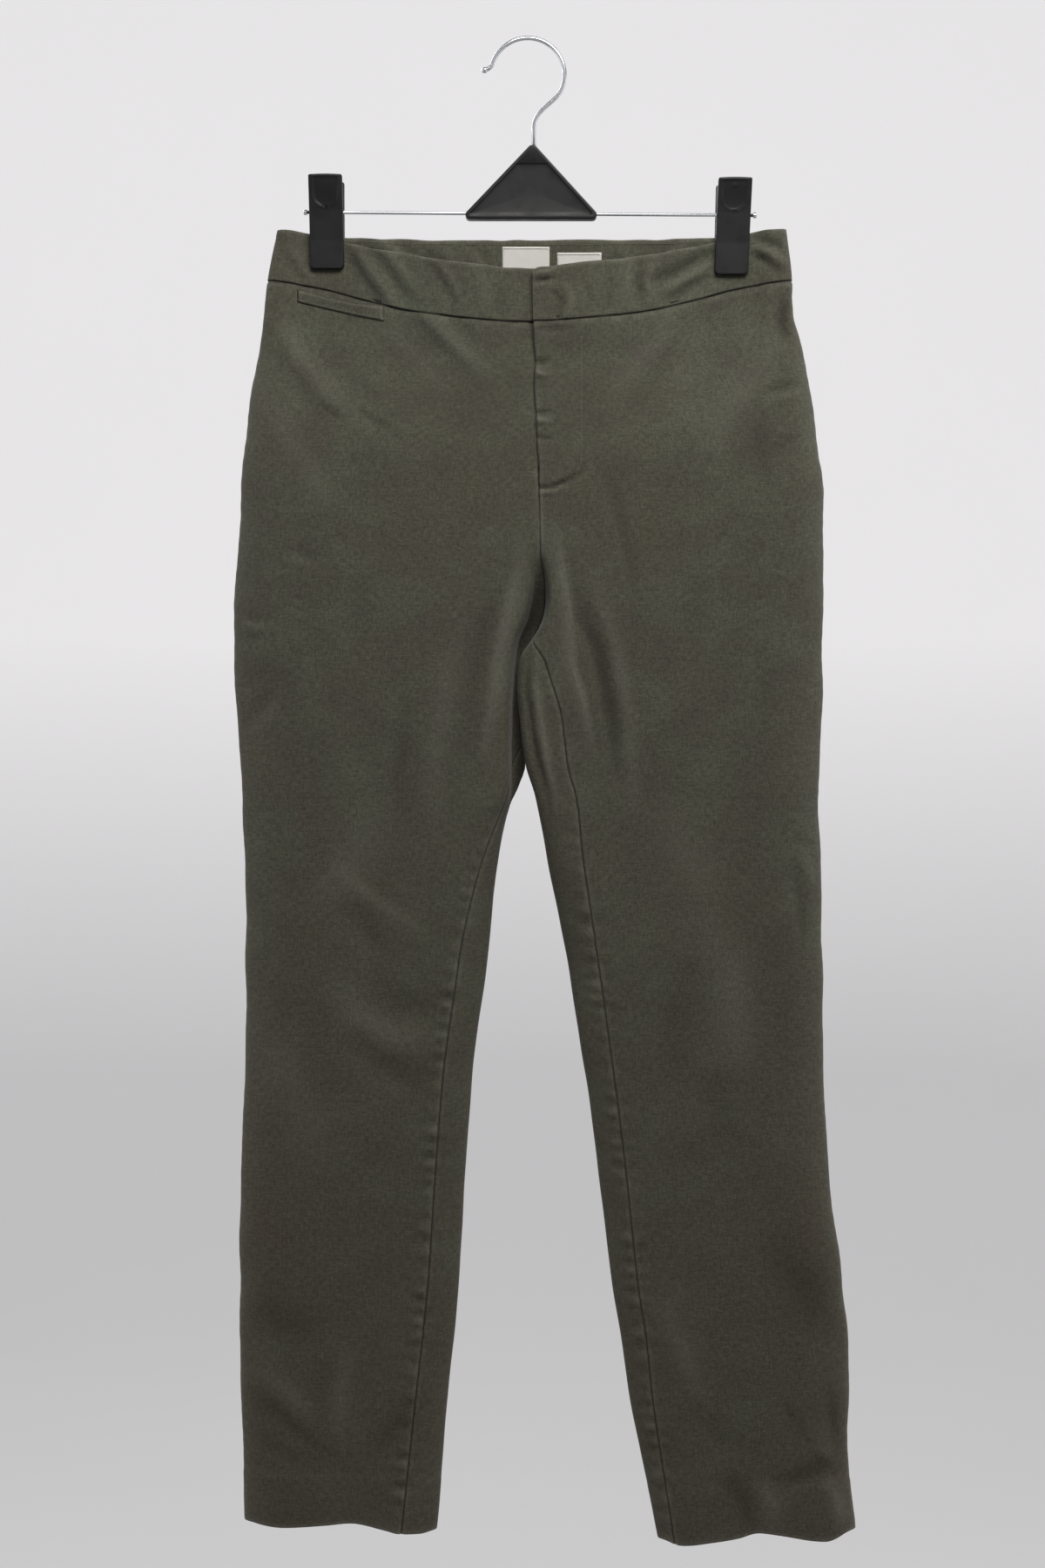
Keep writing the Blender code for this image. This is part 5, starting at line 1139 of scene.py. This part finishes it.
def pressed_plate(name, grid, thickness, surface, slot_name, *nodes):
    """A thin plate laid on the cloth, with softened edges."""
    made = cloth_mesh(name, grid, flat_threads(grid), np.zeros(grid.shape[:2]), thickness, True)
    soften(made, 0.3 * thickness, 30)
    put_on(made, surface, *nodes, slot=slot_name)
    return made


TAPE_DEEP = WALL + FLY_LIFT + 0.3
grid = laid(front_tree, ((-6.0, 219.0), (18.0, 219.0)), ((-1.0, 335.0), (21.0, 335.0)), (40, 14), 0.0)
smooth_y = grid[..., 1].max(axis=1, keepdims=True) + TAPE_DEEP
grid[..., 1] = smooth_y
made = pressed_plate("zip_tape_cloth", grid, 0.7, TWILL, "cotton_twill", "zip_tape")
tape_tree = tree_of(grid)
rows = []
for x_shift in (-0.9, 0.9):
    line = [(9.3 + x_shift, 246.0), (10.2 + x_shift, 332.0)]
    rows += row_of_stitches(tape_tree, line, 1.5, 0.5, 0.35)
made = joined("zip_coil", rows)
put_on(made, thread, slot="cotton_twill")
plate = laid(tape_tree, ((7.5, 222.0), (12.5, 222.0)), ((7.7, 231.0), (12.3, 231.0)), (6, 6), 1.3)
pressed_plate("slider_body", plate, 1.0, nickel, "plated_steel", "zip_slider")
pull = laid(tape_tree, ((8.6, 231.4), (11.6, 231.4)), ((8.3, 245.0), (12.1, 245.0)), (8, 5), 1.25)
pressed_plate("slider_pull", pull, 0.5, nickel, "plated_steel")

under_tree = tree_of(band_under)
plate = laid(under_tree, ((10.0, 190.0), (20.0, 190.0)), ((10.0, 201.0), (20.0, 201.0)), (5, 5), 0.6)
pressed_plate("bar_plate", plate, 0.35, nickel, "plated_steel", "waist_bar")
plate = laid(under_tree, ((9.0, 189.0), (22.0, 189.0)), ((9.0, 203.0), (22.0, 203.0)), (6, 6), 1.5)
pressed_plate("hook_plate", plate, 0.45, nickel, "plated_steel", "waist_hook")

# ---------------------------------------------------------------- hanger
# A clip hanger: chromed wire hook with a round tip, a thin chromed bar, a moulded black triangle
# that joins them, and two black sprung clips whose jaws pinch the band.

# Drawn wire, chrome plated: mirror bright with faint scuffs, so it takes the pale room and dark edges.
chrome, tree, shader = finish_of("chromed_wire", "b4b7ba", 0.13, Metallic=1.0)
place_of = add(tree, "TexCoord").outputs["Object"]
scuffs = add(tree, "TexNoise", {"Vector": place_of, "Scale": 700.0, "Detail": 4.0, "Roughness": 0.6})
rough = add(tree, "MapRange", {"Value": scuffs.outputs["Fac"], "From Min": 0.35, "From Max": 0.75,
                               "To Min": 0.1, "To Max": 0.2})
tree.links.new(rough.outputs["Result"], shader.inputs["Roughness"])
first = add(tree, "Bump", {"Height": scuffs.outputs["Fac"], "Strength": 0.05, "Distance": 0.0001})
tree.links.new(first.outputs["Normal"], shader.inputs["Normal"])

# Injection-moulded plastic, dyed black, with the mould's fine grain: satin, polished where it's handled.
moulded, tree, shader = finish_of("moulded_black_plastic", "17171a", 0.45,
                                   Specular_IOR_Level=0.3)
place_of = add(tree, "TexCoord").outputs["Object"]
grainy = add(tree, "TexNoise", {"Vector": place_of, "Scale": 2600.0, "Detail": 2.0})
handled = add(tree, "TexNoise", {"Vector": place_of, "Scale": 55.0, "Detail": 4.0, "Roughness": 0.6})
tint = add(tree, "Mix", {0: handled.outputs["Fac"], 6: linear("070708"), 7: linear("0d0d0f")},
           data_type="RGBA")
tree.links.new(tint.outputs[2], shader.inputs["Base Color"])
rough = add(tree, "MapRange", {"Value": handled.outputs["Fac"], "From Min": 0.3, "From Max": 0.7,
                               "To Min": 0.3, "To Max": 0.55})
tree.links.new(rough.outputs["Result"], shader.inputs["Roughness"])
first = add(tree, "Bump", {"Height": grainy.outputs["Fac"], "Strength": 0.08, "Distance": 0.0001})
second = add(tree, "Bump", {"Height": handled.outputs["Fac"], "Strength": 0.08, "Distance": 0.0008,
                            "Normal": first.outputs["Normal"]})
tree.links.new(second.outputs["Normal"], shader.inputs["Normal"])

HOOK_WIRE = 3.2
HOOK_CENTRE = (-1.3, -26.0)
HOOK_RADIUS = 27.6
HOOK_ENDS = (165.0, -15.0)
SHANK_X = 3.3
SHANK_TOP = -66.0
BODY_TOP = -79.3
TIP = (-33.6, -22.4)
TIP_BALL = 2.25


def hook_path():
    """The hook's bent wire, from its tip round to the shank."""
    start = [TIP, (-32.0, -21.9), (-30.6, -21.2), (-29.4, -20.4)]
    arc = [(HOOK_CENTRE[0] + HOOK_RADIUS * math.cos(math.radians(a)),
            HOOK_CENTRE[1] + HOOK_RADIUS * math.sin(math.radians(a)))
           for a in np.linspace(HOOK_ENDS[0], HOOK_ENDS[1], 60)]
    last = math.radians(HOOK_ENDS[1])
    ends = (arc[-1], (arc[-1][0] + 15 * math.sin(last), arc[-1][1] - 15 * math.cos(last)),
            (SHANK_X, SHANK_TOP + 16.0), (SHANK_X, SHANK_TOP))
    bend = []
    for t in np.linspace(0, 1, 26)[1:]:
        weights = ((1 - t) ** 3, 3 * t * (1 - t) ** 2, 3 * t * t * (1 - t), t ** 3)
        bend.append(tuple(sum(w * e[i] for w, e in zip(weights, ends)) for i in (0, 1)))
    path = np.array(start + arc + bend + [(SHANK_X, BODY_TOP - 8.8)])
    return np.column_stack([path[:, 0], np.zeros(len(path)), path[:, 1]])


ball = np.radians(np.linspace(-88, 88, 17))
ball_points = [(TIP[0] + TIP_BALL * math.sin(a), 0.0, TIP[1]) for a in ball]
made = joined("hook_wire", [tube(hook_path(), HOOK_WIRE / 2, 20),
                            tube(ball_points, TIP_BALL * np.cos(ball), 20)])
put_on(made, chrome, "hanger_hook", slot="chrome_wire")

BAR_DROP = 129.6
BAR_SLOPE = 0.007
BAR_RADIUS = 1.25


def bar_z(across):
    """Height of the bar, which hangs a little lower on the wearer's left."""
    return -(BAR_DROP + BAR_SLOPE * across)


end_stops = [(-168.4, 1.5), (-168.1, 2.1), (-166.2, 2.1), (-166.0, 1.3), (-165.9, BAR_RADIUS),
            (166.9, BAR_RADIUS), (167.0, 1.3), (167.2, 2.1), (169.1, 2.1), (169.4, 1.5)]
made = joined("bar_wire", [tube([(x, 0.0, bar_z(x)) for x, _ in end_stops], [r for _, r in end_stops], 20)])
made.modifiers.new("even shading", "EDGE_SPLIT").split_angle = math.radians(40)
put_on(made, chrome, "hanger_bar", slot="chrome_wire")

def faced_out(made, degrees, merge=None):
    """Turns all facets of a closed piece outward, and keeps edges sharper than an angle crisp."""
    facing = bmesh.new()
    facing.from_mesh(made.data)
    if merge:
        bmesh.ops.remove_doubles(facing, verts=facing.verts, dist=merge)
    bmesh.ops.recalc_face_normals(facing, faces=facing.faces)
    facing.to_mesh(made.data)
    facing.free()
    made.modifiers.new("even shading", "EDGE_SPLIT").split_angle = math.radians(degrees)


# The triangle: raised rim, dished face below the cap that takes the hook.
BODY_CORNERS = ((2.3, -77.3), (54.2, -134.2), (-52.0, -134.2))
BODY_HALF = 4.5
CAP_LINE = -92.9
RIM = 2.6


def inset(corners, by):
    """The corners of an outline moved in from its sides."""
    moved = []
    for i, corner in enumerate(corners):
        here = Vector(corner)
        back = (Vector(corners[i - 1]) - here).normalized()
        ahead = (Vector(corners[(i + 1) % len(corners)]) - here).normalized()
        moved.append(here + (back + ahead).normalized() * by / math.sin(back.angle(ahead) / 2))
    return moved


def rounded(corners, radii, steps):
    """A closed outline with each corner rounded by an arc of that many points."""
    outline = []
    for i, (corner, radius, count) in enumerate(zip(corners, radii, steps)):
        here = Vector(corner)
        back = (Vector(corners[i - 1]) - here).normalized()
        ahead = (Vector(corners[(i + 1) % len(corners)]) - here).normalized()
        half = back.angle(ahead) / 2
        centre = here + (back + ahead).normalized() * (radius / math.sin(half))
        start = here + back * (radius / math.tan(half)) - centre
        end = here + ahead * (radius / math.tan(half)) - centre
        for t in np.linspace(0, 1, count):
            outline.append(centre + start.slerp(end, t).normalized() * radius)
    return np.array(outline)


def edge_ring(by):
    """The triangle's outline, drawn in by a distance."""
    return rounded(inset(BODY_CORNERS, by), [max(r - by, 0.3) for r in (4.0, 3.2, 3.2)], (12, 8, 8))


def dish_ring(by):
    """The outline of the dished face, which ends below the cap."""
    apex, right, left = inset(BODY_CORNERS, by)
    cap = CAP_LINE - (by - RIM)
    along_right = (apex.y - cap) / (apex.y - right.y)
    top_right = apex.lerp(right, along_right)
    top_left = apex.lerp(left, (apex.y - cap) / (apex.y - left.y))
    return rounded([top_left, top_right, right, left], (0.8, 0.8, 1.2, 1.2), (6, 6, 8, 8))


face_rings = [(edge_ring(0.0), 3.7), (edge_ring(0.12), 4.1), (edge_ring(0.4), 4.4),
              (edge_ring(0.8), BODY_HALF), (edge_ring(1.6), BODY_HALF), (dish_ring(RIM), BODY_HALF),
              (dish_ring(RIM + 0.15), 4.42), (dish_ring(RIM + 0.3), 4.1), (dish_ring(RIM + 0.45), 3.75)]
middle = dish_ring(RIM + 0.5).mean(axis=0)
for shrink, deep in ((0.97, 3.6), (0.85, 3.45), (0.65, 3.25), (0.4, 3.1), (0.15, 3.02)):
    face_rings.append((middle + (dish_ring(RIM + 0.5) - middle) * shrink, deep))
corners, facets = [], []
rings = [[(x, y, z) for x, z in ring] for ring, y in face_rings[::-1]]
rings += [[(x, -y, z) for x, z in ring] for ring, y in face_rings]
count = len(rings[0])
for ring in rings:
    corners += ring
for r in range(len(rings) - 1):
    for s in range(count):
        a, b = r * count + s, r * count + (s + 1) % count
        facets.append((a, b, b + count, a + count))
facets.append(tuple(range(count))[::-1])
facets.append(tuple(range(len(corners) - count, len(corners))))
made = joined("triangle", [(corners, facets)])
faced_out(made, 38)
put_on(made, moulded, "hanger_body", slot="black_plastic")

# Each jaw is a moulded plate, pinched in at the bar, with a scooped thumb rest on its handle.
CLIP_WIDE = 25.2
JAW_OUTER = ((-13.4, 30.0), (-8.8, 0.0), (-6.6, -22.0), (-5.6, -48.0))
JAW_INNER = ((-10.9, 30.0), (-6.6, 6.0), (-4.0, 3.0), (-4.0, -3.0), (-2.6, -14.0), (-2.6, -48.0))
THUMB_WIDE = 18.4
Clip = namedtuple("Clip", "across top low lean")
CLIPS = {"right": Clip(-151.2, -103.2, -171.8, -0.016), "left": Clip(151.8, -105.6, -176.0, 0.036)}


def profile_y(profile, height):
    """Distance of a jaw's surface from the middle plane at a height above the bar."""
    ys, heights = zip(*profile[::-1])
    return np.interp(height, heights, ys)


def jaw(name, clip, turned, shift, node):
    """One jaw: its moulded outer face, its inner face and the wall round them."""
    half, corner, top_corner = CLIP_WIDE / 2, 3.6, 1.6
    middle = bar_z(clip.across)
    tall = clip.top - clip.low
    down = np.concatenate([[0, 0.15, 0.4, 0.8, 1.2, 1.8], np.linspace(2.6, tall - 4.2, 74),
                           tall - np.array([3.6, 3.0, 2.4, 1.8, 1.2, 0.8, 0.4, 0.15, 0.0])])
    share_across = np.concatenate([[-1, -0.985, -0.96, -0.93], np.linspace(-0.89, 0.89, 45),
                                   [0.93, 0.96, 0.985, 1]])
    d, s = np.meshgrid(down, share_across, indexing="ij")
    from_low = tall - d
    low_in = corner - np.sqrt(np.maximum(corner ** 2 - np.maximum(corner - from_low, 0) ** 2, 0))
    top_in = top_corner - np.sqrt(np.maximum(top_corner ** 2 - np.maximum(top_corner - d, 0) ** 2, 0))
    wide = half - np.where(d < tall / 2, top_in, low_in)
    x = s * wide
    height = clip.top - d - middle
    crown = 0.5 * (1 - (x / half) ** 2) * (1 - ease(d, 0, 12))
    apart = np.minimum(np.minimum(half - np.abs(x), d), from_low)
    both = np.hypot(np.maximum(corner - (half - np.abs(x)), 0), np.maximum(corner - from_low, 0))
    apart = np.where((half - np.abs(x) < corner) & (from_low < corner), corner - both, apart)
    round_edge = 0.9
    gap = np.clip(round_edge - apart, 0, round_edge)
    sunk = round_edge - np.sqrt(np.maximum(round_edge ** 2 - gap ** 2, 0))
    # The thumb rest has straight sides and a round end, deepest at the end.
    rest_half = THUMB_WIDE / 2
    below = d - (23.3 - rest_half)
    into = np.where(below > 0, rest_half - np.hypot(x, below), rest_half - np.abs(x))
    into = np.minimum(into, d - 2.1)
    scoop = ease(into, 0.0, 0.9) * (0.25 + 1.1 * ease(d, 3, 20))
    lip = 0.3 * np.exp(-((into + 0.5) / 0.6) ** 2)
    outer = profile_y(JAW_OUTER, height) + sunk + scoop - lip
    # This one jaw has a small raised nub.
    if name == "clip_left_front":
        outer -= 0.35 * np.exp(-((x / 1.6) ** 2 + ((d - 6.0) / 0.9) ** 2))
    inner = profile_y(JAW_INNER, height)
    outer = np.minimum(outer, inner - 0.8)
    lean = clip.lean * (clip.top - d - middle)
    z = clip.top - d + crown
    grids = []
    for y in (outer, inner):
        grids.append(np.stack([clip.across + x + lean, y * turned + shift, z], -1))
    rows, columns = x.shape
    corners = np.concatenate([grid.reshape(-1, 3) for grid in grids])
    at = np.arange(rows * columns).reshape(rows, columns)
    back = at + rows * columns
    quads = quads_of(rows, columns)
    facets = quads.tolist() + (quads[:, ::-1] + rows * columns).tolist()
    rim = np.concatenate([at[0, :], at[1:, -1], at[-1, -2::-1], at[-2:0:-1, 0]])
    far = np.concatenate([back[0, :], back[1:, -1], back[-1, -2::-1], back[-2:0:-1, 0]])
    for i in range(len(rim)):
        n = (i + 1) % len(rim)
        facets.append((rim[i], rim[n], far[n], far[i]))
    made = joined(name + "_jaw", [(corners, facets)])
    faced_out(made, 50, merge=1e-6)
    put_on(made, moulded, node, slot="black_plastic")


for clip_side, clip in CLIPS.items():
    jaw(f"clip_{clip_side}_front", clip, 1.0, 0.0, f"clip_{clip_side}_front")
    jaw(f"clip_{clip_side}_back", clip, -1.0, 0.4, f"clip_{clip_side}_back")
    turns = np.linspace(0, 8, 8 * 18 + 1)
    coil = [(clip.across + 1.7 * (t - 4), 2.85 * math.cos(2 * math.pi * t),
             bar_z(clip.across) + 2.85 * math.sin(2 * math.pi * t)) for t in turns]
    made = joined(f"clip_{clip_side}_coil", [tube(coil, 0.75, 8)])
    put_on(made, nickel, f"clip_{clip_side}_spring", slot="plated_steel")

# ---------------------------------------------------------------- studio
# A round cove of pale matt paper, floor and wall in one, so that every side sees the same backdrop.
# One soft lamp hangs above and in front; weak ones at the sides and behind lighten the folds' edges.

COVE_FLOOR = -1.75
COVE_FLAT = 3.2         # metres of level floor before the paper curves up
COVE_CURVE = 2.5
COVE_TOP = 6.0
COVE_SIDES = 96
# Uncoated paper, matt and pale, a little uneven in tone, with painted light seen only by the camera and in
# reflections: brighter towards the top, darker towards the floor.
paper, tree, shader = finish_of("matt_backdrop_paper", "b0afb0", 0.95)
rays = add(tree, "LightPath")
shown = add(tree, "Math", {0: rays.outputs["Is Camera Ray"], 1: rays.outputs["Is Glossy Ray"]},
            operation="MAXIMUM")
place = add(tree, "TexCoord").outputs["Object"]
height = add(tree, "SeparateXYZ", {"Vector": place})
paler = add(tree, "MapRange", {"Value": height.outputs["Z"], "From Min": -1.35, "From Max": -0.1,
                               "To Min": 0.44, "To Max": 0.74})
# Painted light: the paper shines by itself, only for the camera and reflections, more strongly higher up.
painted_glow = add(tree, "Math", {0: shown.outputs["Value"], 1: paler.outputs["Result"]}, operation="MULTIPLY")
shader.inputs["Emission Color"].default_value = linear("f6f4f5")
tree.links.new(painted_glow.outputs["Value"], shader.inputs["Emission Strength"])
pulp = add(tree, "TexNoise", {"Vector": place, "Scale": 3.0, "Detail": 4.0})
tint = add(tree, "Mix", {0: pulp.outputs["Fac"], 6: linear("b3b2b3"), 7: linear("adacad")},
           data_type="RGBA")
tree.links.new(tint.outputs[2], shader.inputs["Base Color"])

profile = [(r, COVE_FLOOR) for r in (0.0, 0.8, 1.6, 2.4, COVE_FLAT)]
profile += [(COVE_FLAT + COVE_CURVE * math.sin(a), COVE_FLOOR + COVE_CURVE * (1 - math.cos(a)))
            for a in np.linspace(0, math.pi / 2, 25)[1:]]
profile.append((COVE_FLAT + COVE_CURVE, COVE_TOP))
turned = np.linspace(0, 2 * math.pi, COVE_SIDES + 1)[:-1]
corners = [(r * math.cos(a), r * math.sin(a), z) for r, z in profile for a in turned]
facets = []
for r in range(len(profile) - 1):
    for k in range(COVE_SIDES):
        here, above, n = r * COVE_SIDES, (r + 1) * COVE_SIDES, (k + 1) % COVE_SIDES
        facets.append((here + k, here + n, above + n, above + k))
sweep = bpy.data.meshes.new("backdrop")
sweep.from_pydata(corners, [], facets)
sweep.shade_smooth()
sweep.materials.append(paper)
backdrop = bpy.data.objects.new("backdrop", sweep)
bpy.context.scene.collection.objects.link(backdrop)

world = bpy.data.worlds.new("studio")
bpy.context.scene.world = world
world.use_nodes = True
world.node_tree.nodes["Background"].inputs["Color"].default_value = linear("e9edf2")
world.node_tree.nodes["Background"].inputs["Strength"].default_value = 0.3


def lamp(name, place, aim, size, watts, colour):
    """A soft box of a size in metres, aimed at a point."""
    light = bpy.data.lights.new(name, "AREA")
    light.shape = "RECTANGLE"
    light.size, light.size_y = size
    light.energy = watts
    light.color = linear(colour)[:3]
    made = bpy.data.objects.new(name, light)
    made.location = place
    made.rotation_euler = (Vector(aim) - Vector(place)).to_track_quat("-Z", "Y").to_euler()
    made.visible_camera = False
    bpy.context.scene.collection.objects.link(made)


lamp("soft_lamp_above", (0.3, -0.95, 0.75), (0, 0, -0.5), (1.0, 0.6), 21.0, "fffdf8")
lamp("soft_lamp_right_side", (1.5, 0.0, -0.5), (0, 0, -0.6), (0.7, 1.8), 8.0, "ffffff")
lamp("soft_lamp_left_side", (-1.5, 0.0, -0.5), (0, 0, -0.6), (0.7, 1.8), 8.0, "ffffff")
lamp("lamp_on_the_paper", (0.0, 2.4, 1.4), (0, 5.5, 0.9), (4.0, 1.2), 15.0, "f6fbff")
lamp("soft_lamp_behind", (-0.9, 1.7, 0.9), (0, 0, -0.5), (1.0, 1.0), 17.0, "ffffff")

bpy.context.scene.view_settings.view_transform = "Standard"

# The camera stands straight in front, level with the thighs, and takes in a little over the whole.
SENSOR_HIGH = 24.0
VIEW_FROM = 1.65
SEEN_HIGH = 1.17
camera = bpy.data.cameras.new("camera")
camera.sensor_fit = "VERTICAL"
camera.sensor_height = SENSOR_HIGH
camera.lens = SENSOR_HIGH * VIEW_FROM / SEEN_HIGH
viewer = bpy.data.objects.new("camera", camera)
viewer.location = (-0.0052, -VIEW_FROM, -0.555)
viewer.rotation_euler = (math.pi / 2, 0, 0)
bpy.context.scene.collection.objects.link(viewer)
bpy.context.scene.camera = viewer
